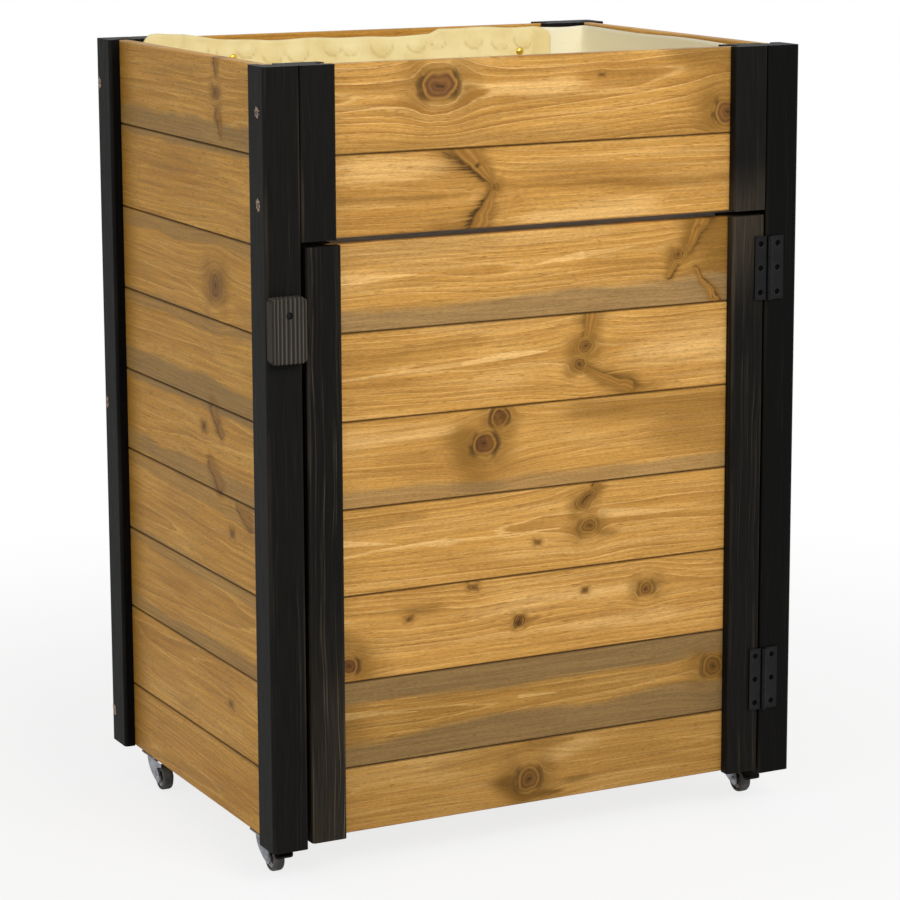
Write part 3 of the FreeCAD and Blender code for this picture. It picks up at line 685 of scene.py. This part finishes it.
# Black screws, darkened further with almost no gloss as painted shade in their sunk holes.
black_screw_and_shade = hardware("black_screw_steel_and_shade", paint(5, 5, 5), paint(2, 2, 2), 0.6, specular=0.03)
tread_rubber = hardware("grey_tread", paint(98, 98, 96), paint(78, 78, 77), 0.75, specular=0.2)
brass = hardware("brass_tack", paint(224, 190, 84), paint(196, 152, 48), 0.26, metal=1.0)
screw_steel = hardware("screw_steel", paint(120, 106, 92), paint(74, 62, 52), 0.4, metal=0.8)
torn_wood = hardware("torn_pale_wood", paint(206, 182, 160), paint(128, 100, 78), 0.8, specular=0.1,
                     cloud=700.0)
fittings = {"caster_fork": zinc, "caster_plates": zinc, "hinge_leaf": black_paint,
            "brake_pedal": black_paint, "turn_button_screw": black_paint}
for node in nodes:
    for start, finish in fittings.items():
        if node.startswith(start):
            dress(node, finish)
print("hardware finished")

# %% [markdown]
# ## The casters
# A turned wheel is a profile carried round its axle. The tread has soft shoulders, and the hub is dished
# between its boss and its rim, which carries a pale painted highlight. Each replaces the plain ring of the
# solid model.

# %% Turn the wheels
wheel_steps = 64


def lathe(profile, place):
    """A profile of (radius, x) pairs carried round an axle that runs along X."""
    angle = full_circle(wheel_steps)[None, :]
    radius, along = profile[:, :1], profile[:, 1:]
    return np.stack([along + place[0] + 0 * angle, place[1] + radius * np.cos(angle),
                     place[2] + radius * np.sin(angle)], -1)


def tread_profile(inner, outer, half_width):
    """A rounded box: the fourth-power curve between the hub and the ground."""
    step = np.linspace(0.0, np.pi, 28)
    along = half_width * np.sign(np.cos(step)) * np.abs(np.cos(step)) ** 0.5
    profile = np.stack([inner + (outer - inner) * np.abs(np.sin(step)) ** 0.5, along], 1)
    return np.concatenate([profile, profile[:1]])


def hub_profile(outer, half_width):
    """Half a hub from the axle out: boss, dish and rim, then the same mirrored."""
    shares = np.array([[0.0, 1.0], [0.3, 1.0], [0.36, 0.93], [0.42, 0.62], [0.5, 0.52], [0.74, 0.52],
                       [0.82, 0.62], [0.86, 0.95], [0.9, 1.0], [0.98, 1.0], [1.0, 0.95]])
    half = shares * (outer, half_width)
    return np.concatenate([half * (1, 1), (half * (1, -1))[::-1]])


def hub_finish():
    """Brown plastic, with a painted highlight: a pale ring at the rim where its edge catches the light."""
    f = Finish("caster_hub")
    cloud = f.noise(f.place, 400.0, 2.0)
    dish = f.blend(f.ease(cloud, 0.3, 0.7), paint(78, 54, 58), paint(58, 42, 45))
    # Painted highlight: the outer part of the hub is painted pale where the rim's edge catches the light.
    colour = f.blend(f.ease(f.mark("rim"), 0.68, 0.76), dish, paint(232, 228, 224))
    return f.done(colour, f.ease(cloud, 0.3, 0.7, 0.45, 0.6), cloud, 0.0001, 0.4)


hub_plastic = hub_finish()
corners = ("front_left", "front_right", "rear_left", "rear_right")
for corner in corners:
    axle = joint_place["roll_" + corner]
    low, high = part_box("caster_tyre_" + corner)
    hub_low, hub_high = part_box("caster_hub_" + corner)
    wheel_radius, hub_radius = (high.z - low.z) / 2, (hub_high.z - hub_low.z) / 2
    profile = tread_profile(hub_radius, wheel_radius, (high.x - low.x) / 2)
    tread = make_piece("tread_" + corner, [lathe(profile, axle)], tread_rubber, closed=True)
    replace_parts(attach(tread, "wheel_" + corner), "caster_tyre_" + corner)
    profile = hub_profile(hub_radius, (hub_high.x - hub_low.x) / 2)
    rim = np.repeat(profile[:, :1] / hub_radius, wheel_steps, 1)
    hub = make_piece("hub_" + corner, [lathe(profile, axle)], hub_plastic, closed=True, rim=[rim])
    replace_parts(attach(hub, "wheel_" + corner), "caster_hub_" + corner)
print("wheels of radius", round(wheel_radius * 1000, 1), "mm")

# %% [markdown]
# A pressed fork is broad where it meets the swivel, bulges behind the wheel and ends in a round foot at the
# axle. The solid model has plain straight legs, so a thin cheek goes over each: a closed outline in Y and Z,
# filled from its middle and carried through its thickness.

# %% Press the fork cheeks
cheek_inner, cheek_thick = 0.00865, 0.0006
cheek_middle = np.array([-0.004, 0.025])
crown_front, crown_back = np.array([-0.030, 0.0343]), np.array([0.0125, 0.0343])
back_pull = np.array([0.009, 0.018])
notch, flange = (-0.0165, 0.0265), (-0.030, 0.0305)
foot_middle, foot_radius = np.array([-0.018, 0.015]), 0.0064


def cheek_outline():
    """A closed curve in Y and Z: crown, back edge as a parabola, round foot, front edge with a flange."""
    crown = np.linspace(crown_front, crown_back, 16)[:-1]
    angle = np.radians(np.linspace(-50, -205, 20))
    foot_arc = foot_middle + foot_radius * np.stack([np.cos(angle), np.sin(angle)], 1)
    t = np.linspace(0.0, 1.0, 20)[:-1, None]
    back = (1 - t) ** 2 * crown_back + 2 * t * (1 - t) * back_pull + t ** 2 * foot_arc[0]
    front = np.concatenate([np.linspace(foot_arc[-1], notch, 8)[1:], np.linspace(notch, flange, 5)[1:]])
    return np.concatenate([crown, back, foot_arc, front])


for corner in corners:
    swivel = np.array(joint_place["swivel_" + corner])
    cheeks = []
    for side in (-1, 1):
        loop = cheek_outline()[::-side]
        middle = cheek_middle + 0 * loop
        layers = [(middle, 1.0), (middle + 0.96 * (loop - middle), 1.0), (loop, 0.6), (loop, 0.0),
                  (middle, 0.0)]
        cheeks.append(np.array([np.insert(plan + (swivel[1], 0.0), 0,
                                          swivel[0] + side * (cheek_inner + share * cheek_thick), axis=1)
                                for plan, share in layers]))
    piece = make_piece("fork_cheeks_" + corner, cheeks, zinc, closed=True, crease=30.0)
    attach(piece, "swivel_" + corner)
print("fork cheeks pressed")

# %% [markdown]
# ## The felt liner
# The planter is lined with a strip of thick felt that goes once round the walls and laps over itself at
# the back, and a second piece lies on the slats. The strip is a path in plan, with its turns eased by
# averaging neighbours, carried up the wall. Its upper edge is cut by eye, so it rises at one corner, dips at
# another and waves between.

# %% Cut the felt strip
felt_thick = 0.003
felt_floor = 0.7193
strip_columns, strip_rows, easing_rounds = 595, 44, 14
wall_end, lap_start, corner_run = 0.7, 0.9, 0.018
plan_corners = np.array([[0.246, 0.2046], [0.234, 0.2046], [0.234, 0.2176], [-0.234, 0.2176],
                         [-0.234, 0.2046], [-0.2961, 0.2046], [-0.2961, -0.1906], [-0.234, -0.1906],
                         [-0.234, -0.2036], [0.234, -0.2036], [0.234, -0.1906], [0.2961, -0.1906],
                         [0.2961, 0.2046], [0.234, 0.2046], [0.234, 0.2176], [0.205, 0.2176]])


def felt_edge(path, places):
    """Height of the upper edge along the strip: cut points joined by straight runs, with small waves."""
    x, y = path[:, 0], path[:, 1]
    at_back = np.interp(
        x, [-0.296, -0.286, -0.282, -0.277, -0.268, -0.234, -0.189, -0.126, 0.088, 0.100, 0.26],
        [0.868, 0.8715, 0.8775, 0.882, 0.8835, 0.8805, 0.8750, 0.8705, 0.8695, 0.8755, 0.8755])
    at_right = np.interp(y, [-0.191, -0.165, -0.139, 0.2], [0.850, 0.866, 0.873, 0.8745])
    edge = np.full(len(path), 0.869)
    on_back = (y > 0.19) & (places < wall_end)
    on_right = (x > 0.24) & (places > wall_end) | (y > 0.19) & (places > lap_start)
    edge[on_back] = at_back[on_back]
    edge[on_right] = at_right[on_right]
    from_end = 1 - np.clip(places / corner_run, 0, 1)
    edge = edge - 0.012 * (1 - np.sqrt(1 - from_end ** 2))
    return edge + 0.0007 * np.sin(31 * x + 17 * y) + 0.0005 * np.sin(83 * x - 29 * y + 1.0)


path, places = even_steps(plan_corners, strip_columns)
for _ in range(easing_rounds):
    path[1:-1] = 0.25 * path[:-2] + 0.5 * path[1:-1] + 0.25 * path[2:]
rise = np.linspace(0.0, 1.0, strip_rows)[:, None]
foot = felt_floor + felt_thick
strip_height = foot + rise * (felt_edge(path, places) - foot)[None, :]
print("strip of", strip_height.shape[1], "columns, upper edge at", round(float(strip_height.max()), 4), "m")

# %% [markdown]
# The felt is soft, so it stands off the wall in small dents, closer under the upper edge where fingers pushed
# it in. A dent is half a cosine bowl with a crease round its lower rim, and the crease is darkened in the
# felt's colour as painted shade. Where the strip laps over itself, its end stands off to clear the layer
# behind it. Past the front the felt is paler.

# %% Dent the felt strip
small_dent, edge_dent, dent_limit = 0.0016, 0.003, 0.004
wall_gap, lap_end, lap_ramp, lap_stand = 0.0006, 0.095, 0.02, 0.0055
fresh_start, fresh_ramp = 1.45, 0.01
tangent = np.gradient(path, axis=0)
tangent /= np.linalg.norm(tangent, axis=1, keepdims=True)
inward = np.stack([-tangent[:, 1], tangent[:, 0]], 1)
chance = np.random.default_rng(7)
dents = np.zeros_like(strip_height)
crease_shading = np.zeros_like(strip_height)
dent_spots = [(chance.uniform(0, places[-1]), chance.uniform(0.735, 0.85), small_dent)
              for _ in range(200)]
dent_spots += [(spot + chance.uniform(-0.012, 0.012), chance.uniform(0.853, 0.864), edge_dent)
               for spot in np.arange(0.05, 0.5, 0.036)]
for centre, level, depth in dent_spots:
    size = chance.uniform(0.010, 0.016)
    far = np.hypot(places[None, :] - centre, strip_height - level) / size
    bowl = np.where(far < 1, np.cos(np.pi / 2 * np.minimum(far, 1)), 0.0)
    lower_half = 0.5 - 0.5 * np.tanh((strip_height - level) / (0.35 * size))
    dents += depth * bowl * lower_half
    # The crease is kept as a mark that darkens the colour as painted shade.
    crease = np.exp(-((far - 0.95) / 0.13) ** 2) * lower_half * depth / edge_dent
    crease_shading = np.maximum(crease_shading, crease)
sway = 0.0015 * (1 + np.sin(19 * places + 0.7)) * rise
lap = np.clip((lap_end - places) / lap_ramp, 0, 1)[None, :]
offset = felt_thick / 2 + wall_gap + np.minimum(dents, dent_limit) + sway + lap_stand * lap
fresh = 0 * strip_height + np.clip((places - fresh_start) / fresh_ramp, 0, 1)[None, :]
strip = np.stack([path[None, :, 0] + offset * inward[None, :, 0],
                  path[None, :, 1] + offset * inward[None, :, 1], strip_height], -1)
print(len(dent_spots), "dents, the deepest", round(float(dents.max()) * 1000, 1), "mm")

# %% [markdown]
# Felt is a soft sheet. The surface above is its middle, and the thickness goes half to each side.

# %% Lay the felt strip
def felt_finish():
    """Needled felt: loose fibres at two sizes, cream with a little yellow and grey, paler past the front, and
    darker in the creases as painted shade.
    """
    f = Finish("needled_felt", specular=0.1)
    fibres = f.noise(f.place, 900.0, 4.0, 0.7)
    cloud = f.noise(f.place, 28.0, 3.0)
    colour = f.blend(f.ease(cloud, 0.35, 0.7), paint(244, 229, 176), paint(233, 214, 156))
    colour = f.blend(f.mark("fresh"), colour, paint(247, 241, 214))
    colour = f.blend(f.ease(fibres, 0.45, 0.75, 0.0, 0.3), colour, paint(216, 200, 150))
    # Painted shade in the creases of the dents.
    colour = f.blend(f.ease(f.mark("crease_mark"), 0.1, 0.8, 0.0, 0.4), colour, paint(200, 177, 122))
    f.give(**{"Sheen Weight": 0.15})
    return f.done(colour, 0.95, fibres, 0.0006, 0.6)


def felt_piece(name, grid, **details):
    """A surface of felt, given its thickness."""
    piece = make_piece(name, [grid], felt, **details)
    thick = piece.modifiers.new("felt_thickness", "SOLIDIFY")
    thick.thickness, thick.offset = felt_thick, 0.0
    return piece


felt = felt_finish()
liner_wall = felt_piece("felt_wall_strip", strip, crease=80.0, crease_mark=[crease_shading], fresh=[fresh])
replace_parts(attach(liner_wall, "cabinet"), "planter_liner")


# %% [markdown]
# The floor piece lies loose on the slats, notched at its corners for the stiles like the walls are. It is
# cut a little full, so it rises at its borders.

# %% Lay the floor felt
floor_side, floor_front, floor_back = 0.2915, -0.186, 0.200
notch_x, notch_deep = 0.233, 0.013
across, share = np.meshgrid(np.linspace(-floor_side, floor_side, 160), np.linspace(0.0, 1.0, 80))
out = notch_deep * np.clip((notch_x - np.abs(across)) / 0.004, 0, 1)
floor_y = floor_front - out + share * (floor_back - floor_front + 2 * out)
border = np.minimum(floor_y - floor_front + out, floor_back + out - floor_y)
border = np.minimum(floor_side - np.abs(across), border)
waves = 0.0007 * (1 + np.sin(41 * across + 23 * floor_y)) / 2
floor_z = felt_floor + felt_thick / 2 + 0.0002 + waves + 0.0012 * np.exp(-border / 0.012)
floor_grid = np.stack([across, floor_y, floor_z], -1)
liner_floor = felt_piece("felt_floor", floor_grid, crease_mark=[0 * across], fresh=[0 * across])
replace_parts(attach(liner_floor, "cabinet"), "planter_liner")

# %% [markdown]
# ## The turn button
# The door is held by a block of weathered wood on one screw. Its soft wood has worn away between the hard
# rings, which stand up as ridges along the block and show again on its ends. The surface starts in the
# screw hole, crosses the face, rolls over the edge and closes at the back.

# %% Draw the turn button
button_low, button_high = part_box("turn_button")
button_screw = joint_place["button_turn"]
outline_points = 420
button_round, edge_round = 0.006, 0.0016
hole_radius, hole_depth = 0.004, 0.005
ridge_count, ridge_depth = 9.5, 0.0009


def button_outline(inset):
    """Points at even steps round a rectangle with round corners, in X and Z, drawn in by inset."""
    middle_x, middle_z = (button_low.x + button_high.x) / 2, (button_low.z + button_high.z) / 2
    half_x, half_z = (button_high.x - button_low.x) / 2, (button_high.z - button_low.z) / 2
    turn = np.linspace(0.0, np.pi / 2, 24)
    arcs = []
    for quarter, (side_x, side_z) in enumerate([(1, 1), (-1, 1), (-1, -1), (1, -1)]):
        angle = turn + quarter * np.pi / 2
        radius = button_round - inset
        arcs.append(np.stack([middle_x + side_x * (half_x - button_round) + radius * np.cos(angle),
                              middle_z + side_z * (half_z - button_round) + radius * np.sin(angle)], 1))
    loop = np.concatenate(arcs + [arcs[0][:1]])
    return even_steps(loop, outline_points, endpoint=False)[0]


def ridge(x):
    """Height of the worn rings, 0 in a furrow and 1 on a crest, as a bent cosine across the block."""
    share = (x - button_low.x) / (button_high.x - button_low.x)
    angle = 2 * np.pi * (ridge_count * share + 0.35 * np.sin(5 * share + 0.6))
    return (0.5 + 0.5 * np.cos(angle)) ** 0.7


print("button", [round((b - a) * 1000, 1) for a, b in zip(button_low, button_high)], "mm")

# %% [markdown]
# The rows of the surface are outlines with a depth behind the face. On the face the furrows go into the
# depth, and at the two ends, where the grain comes out, they go into the outline.

# %% Carve the turn button
face_rows, first_carved = 34, 33
outline = button_outline(0.0)
screw_place = np.array([button_screw[0], button_screw[2]])
outward = np.roll(outline, -1, 0) - np.roll(outline, 1, 0)
outward = np.stack([outward[:, 1], -outward[:, 0]], 1) / np.linalg.norm(outward, axis=1, keepdims=True)
spoke = outline - screw_place
hole = screw_place + hole_radius * spoke / np.linalg.norm(spoke, axis=1, keepdims=True)
face_y, back_y = button_low.y, button_high.y
rows = [(screw_place + 0 * hole, hole_depth), (hole, hole_depth), (hole, 0.0012)]
for share in np.linspace(0.0, 1.0, face_rows):
    rows.append((hole + share * (button_outline(edge_round) - hole), 0.0))
for angle in np.linspace(0.25, 1.0, 4) * np.pi / 2:
    rows.append((button_outline(edge_round * (1 - np.sin(angle))), edge_round * (1 - np.cos(angle))))
for share in (0.4, 0.7, 1.0):
    rows.append((outline, edge_round + share * (back_y - face_y - edge_round)))
rows.append((screw_place + 0 * hole, back_y - face_y))
button_grid, crests = [], []
for number, (plan, depth) in enumerate(rows):
    furrow = ridge_depth * (1 - ridge(plan[:, 0]))
    on_face = max(0.0, 1 - depth / edge_round)
    at_end = outward[:, 1] ** 2 * (first_carved <= number < len(rows) - 1)
    shifted = plan - outward * (furrow * at_end)[:, None]
    button_grid.append(np.stack([shifted[:, 0], face_y + depth + furrow * on_face, shifted[:, 1]], 1))
    crests.append(ridge(plan[:, 0]) if number >= 2 else 0 * plan[:, 0])


def weathered_wood_and_painted_light():
    """Grey-brown wood with fibres along the block, darker in the furrows and pale on the crests: partly the
    wood's own rings, partly painted shade in the furrows and a painted highlight on the crests.
    """
    f = Finish("button_wood_and_painted_light", specular=0.12)
    fibre = f.noise(f.stretch(f.place, (1400.0, 1400.0, 30.0)), detail=3.0)
    # The crest mark gives darker furrows and pale crest tops: the rings of the wood, with painted shade in
    # the furrows and a painted highlight on the crests.
    colour = f.blend(f.ease(f.mark("crest"), 0.1, 0.9), paint(36, 34, 29), paint(60, 56, 49))
    colour = f.blend(f.ease(f.mark("crest"), 0.9, 1.0, 0.0, 0.6), colour, paint(108, 101, 89))
    colour = f.blend(f.ease(fibre, 0.45, 0.75, 0.0, 0.4), colour, paint(26, 25, 21))
    return f.done(colour, f.ease(fibre, 0.3, 0.7, 0.6, 0.8), fibre)


button = make_piece("ridged_turn_button", [np.array(button_grid)], weathered_wood_and_painted_light(), closed=True,
                    crease=60.0, crest=[np.array(crests)])
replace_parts(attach(button, "turn_button"), "turn_button")
print("turn button with", ridge_count, "ridges")

# %% [markdown]
# ## Fasteners
# Every fastener is a small round patch that stands on a face: rings of points whose height depends on the
# radius and, for a cross slot, on the angle too. Screws that were driven through the black stain tore pale
# splinters out of the post, so each sits in a ragged ring of bare wood.

# %% Set the panel screws
patch_steps = 48
edge_sink = 0.0002
panel_head, post_side = 0.0036, 0.325


def round_patch(place, facing, radii, height):
    """Rings round a place on a face. Height is a function of the radius and the offsets up and sideways."""
    angle = full_circle(patch_steps)[None, :]
    radius = radii if radii.ndim == 2 else radii[:, None] + 0 * angle
    facing = np.array(facing, float)
    up = np.array([0.0, 0.0, 1.0])
    side = np.cross(facing, up)
    first, second = radius * np.cos(angle), radius * np.sin(angle)
    lift = height(radius, first, second)
    return np.array(place) + first[..., None] * up + second[..., None] * side + lift[..., None] * facing


def cross_head(size, height, depth):
    """A screw head: flat with a rounded edge, and a cross sunk in its middle."""
    def shape(radius, first, second):
        edge = np.clip((size - radius) / (0.25 * size), 0, 1)
        dome = height * np.sqrt(1 - (1 - edge) ** 2)
        arm = np.minimum(np.abs(first), np.abs(second)) < 0.16 * size
        return dome - depth * (arm & (radius < 0.62 * size)) - edge_sink * (radius >= size)
    return shape


def head_rings(size):
    """Radii of the rings of a head, closer towards its edge."""
    return size * np.array([0.0, 0.12, 0.2, 0.3, 0.4, 0.5, 0.58, 0.64, 0.72, 0.8, 0.88, 0.94, 0.98, 1.0])


def splinter_rings(size):
    """Radii of a ragged ring: its outer edge differs with the angle."""
    tall = 1 + 0.35 * np.abs(np.cos(full_circle(patch_steps)))
    ragged = size * tall * (0.7 + 0.75 * chance.random(patch_steps) + 0.8 * chance.random(patch_steps) ** 5)
    return size * 0.8 + np.linspace(0, 1, 5)[:, None] * (ragged - size * 0.8)[None, :]


def splinter_height(radius, first, second):
    """Splinters stand up round the screw and sink into the stain further out, with small waves."""
    waves = 0.00012 * np.sin(900 * first + 1400 * second)
    return 0.00045 * np.clip(1.6 - radius / 0.0042, -0.2, 0.8) + waves


post_faces = [(-0.216, 0.830), (-0.216, 0.735), (0.239, 0.827), (0.239, 0.452), (0.239, 0.077)]
panel_heads, panel_rings = [], []
for side in (-1, 1):
    for y, z in post_faces:
        place, facing = (side * post_side, y, z), (side, 0, 0)
        head = cross_head(panel_head, 0.0006, 0.0004)
        panel_heads.append(round_patch(place, facing, head_rings(panel_head), head))
        panel_rings.append(round_patch(place, facing, splinter_rings(panel_head), splinter_height))
for name, patches, finish, slot_name in (("panel_screws", panel_heads, screw_steel, "zinc_steel"),
                                         ("torn_screw_rims", panel_rings, torn_wood, "plain_pine")):
    piece = make_piece(name, patches, finish, closed=True)
    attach(piece, "cabinet")
print(len(panel_heads), "panel screws")

# %% [markdown]
# A hinge leaf has three sunk screws, and the solid model has no holes for them. A thin plate goes over each
# leaf: three rectangles side by side, each with a round hole whose rim slopes down to the head of the screw.

# %% Set the hinge plates and screws
hinge_axis = joint_place["door_hinge"][0]
screw_steps = (-0.0275, 0.0, 0.0275)
sink_radius, sink_foot, sink_lip, sink_depth = 0.0042, 0.0032, 0.0004, 0.0009
knuckle_stand, leaf_inner, leaf_outer, screw_line = 0.0048, 0.0036, 0.0183, 0.0109
plate_margin, rim_round = 0.0003, 0.0002


def box_loop(x0, x1, z0, z1):
    """Points round a rectangle, on rays at even angles from its middle, so that a circle fits inside."""
    angle = full_circle(patch_steps) + np.pi / 4
    ray = np.stack([np.cos(angle), np.sin(angle)], 1)
    ray /= np.abs(ray).max(axis=1, keepdims=True)
    return np.array([x0 + x1, z0 + z1]) / 2 + ray * np.array([x1 - x0, z1 - z0]) / 2


def plate_rows(face, rows):
    """Rings of (x, z) points with a depth below the face of the plate, as a grid of places."""
    return np.array([np.insert(loop, 1, face + depth, axis=1) for loop, depth in rows])


for leaf, side, body in (("door", -1, "door"), ("post", 1, "cabinet")):
    screws, plates = [], []
    for level in ("upper", "lower"):
        low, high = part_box("hinge_leaf_" + leaf + "_" + level)
        leaf_face = low.y + knuckle_stand
        plate_face = leaf_face - sink_depth
        near, far = sorted((hinge_axis + side * leaf_inner, hinge_axis + side * leaf_outer))
        middle = (low.z + high.z) / 2
        edges = np.linspace(low.z + plate_margin, high.z - plate_margin, 4)
        for step, z0, z1 in zip(screw_steps, edges[:-1], edges[1:]):
            place = np.array([hinge_axis + side * screw_line, middle + step])
            frame_loop = box_loop(near, far, z0, z1)
            ray = frame_loop - place
            ray /= np.linalg.norm(ray, axis=1, keepdims=True)
            hole = place + sink_foot * ray
            plates.append(plate_rows(plate_face, [(hole, sink_depth), (hole, sink_lip),
                                                  (place + sink_radius * ray, 0.0), (frame_loop, 0.0)]))
            screws.append(round_patch((place[0], leaf_face, place[1]), (0, -1, 0), head_rings(sink_foot),
                                      cross_head(sink_foot, 0.0003, 0.0002)))
        border = box_loop(near, far, edges[0], edges[-1])
        rim = box_loop(near - rim_round, far + rim_round, edges[0] - rim_round, edges[-1] + rim_round)
        plates.append(plate_rows(plate_face, [(border, 0.0), (rim, rim_round), (rim, sink_depth)]))
    # The screws take the black with painted shade.
    for name, patches, finish in (("hinge_screws_", screws, black_screw_and_shade),
                                  ("hinge_plates_", plates, hinge_paint)):
        piece = make_piece(name + leaf, patches, finish, closed=True, crease=25.0)
        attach(piece, body)
    print(len(screws), "hinge screws on the", leaf)

# %% [markdown]
# Two brass tacks hold the felt to the back wall, and a rivet closes each end of an axle. Both are domes.

# %% Set the tacks and rivets
tack_radius, tack_rise = 0.005, 0.0026
rivet_radius, rivet_rise = 0.004, 0.0016


def dome(size, height):
    """The upper half of an ellipse, carried round."""
    def shape(radius, first, second):
        return height * np.sqrt(np.clip(1 - (radius / size) ** 2, 0, 1)) - edge_sink * (radius >= size)
    return shape


tack_heads = []
for x, z in ((-0.170, 0.8515), (0.207, 0.8455)):
    column = np.argmin(np.where(places < wall_end, np.abs(path[:, 0] - x), np.inf))
    row = np.argmin(np.abs(strip_height[:, column] - z))
    place = (x, strip[row, column, 1] - felt_thick / 2, z)
    head = dome(tack_radius, tack_rise)
    tack_heads.append(round_patch(place, (0, -1, 0), head_rings(tack_radius), head))
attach(make_piece("liner_tacks", tack_heads, brass, closed=True), "cabinet")
for corner in corners:
    axle = joint_place["roll_" + corner]
    heads = []
    for side in (-1, 1):
        place = (axle[0] + side * (cheek_inner + cheek_thick), axle[1], axle[2])
        head = dome(rivet_radius, rivet_rise)
        heads.append(round_patch(place, (side, 0, 0), head_rings(rivet_radius), head))
    piece = make_piece("axle_rivets_" + corner, heads, zinc, closed=True)
    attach(piece, "swivel_" + corner)
print(len(tack_heads), "tacks,", 2 * len(corners), "rivets")

# %% [markdown]
# ## The stage
# A pale floor and soft light. The floor and the world show white to the camera and to reflections, and
# the floor keeps part of its own shading there, so that the shadow of the cabinet stays. Light comes from
# above the camera and a little from the left, with the world as a fill.

# %% Light the stage
own_shade = 0.2
fill_light = 0.45
white = (1.0, 1.0, 1.0, 1.0)


def seen_share(tree):
    """1 for the rays of the camera, of reflections and through glass, and 0 for all other light."""
    camera_ray, mirror_ray, glass_ray = [tree.add("ShaderNodeLightPath", kind, {}) for kind in (
        "Is Camera Ray", "Is Glossy Ray", "Is Transmission Ray")]
    return tree.calc("MAXIMUM", camera_ray, tree.calc("MAXIMUM", mirror_ray, glass_ray))


def white_floor():
    """A pale floor that is seen as white, with part of its own shading near the cabinet."""
    f = Finish("pale_floor", specular=0.0)
    f.give(**{"Base Color": paint(236, 236, 236), "Roughness": 0.9})
    away = f.add("ShaderNodeVectorMath", "Value", {0: f.place}, operation="LENGTH")
    share = seen_share(f) * f.ease(away, 0.4, 1.6, 1 - own_shade, 1.0)
    glow = f.add("ShaderNodeEmission", 0, {})
    f.show("Material Output", share, Wire(f, f.shader.outputs[0]), glow)
    return f.material


stage_side = 14.0
reach = np.linspace(-stage_side / 2, stage_side / 2, 3)
ground = np.stack([*np.meshgrid(reach, reach), np.zeros((3, 3))], -1)
studio_floor = make_piece("studio_floor", [ground], white_floor())

world = bpy.data.worlds.new("studio_world")
world.use_nodes = True
bpy.context.scene.world = world
sky = Nodes(world.node_tree)
fill = world.node_tree.nodes["Background"]
fill.inputs["Color"].default_value = white
fill.inputs["Strength"].default_value = fill_light
backdrop = sky.add("ShaderNodeBackground", 0, {"Color": white})
sky.show("World Output", seen_share(sky), Wire(sky, fill.outputs[0]), backdrop)


def soft_lamp(name, place, aim, side, power):
    """A round area lamp at a place, turned towards its aim."""
    lamp = bpy.data.lights.new(name, "AREA")
    lamp.shape, lamp.size, lamp.energy = "DISK", side, power
    holder = bpy.data.objects.new(name, lamp)
    holder.location = place
    holder.rotation_euler = (Vector(aim) - Vector(place)).to_track_quat("-Z", "Y").to_euler()
    bpy.context.scene.collection.objects.link(holder)


soft_lamp("key_lamp", (0.2, -2.6, 2.3), (0.0, 0.0, 0.55), 1.6, 55.0)
soft_lamp("side_lamp", (-2.4, -0.9, 1.6), (-0.3, 0.0, 0.45), 1.6, 10.0)
print("stage ready")
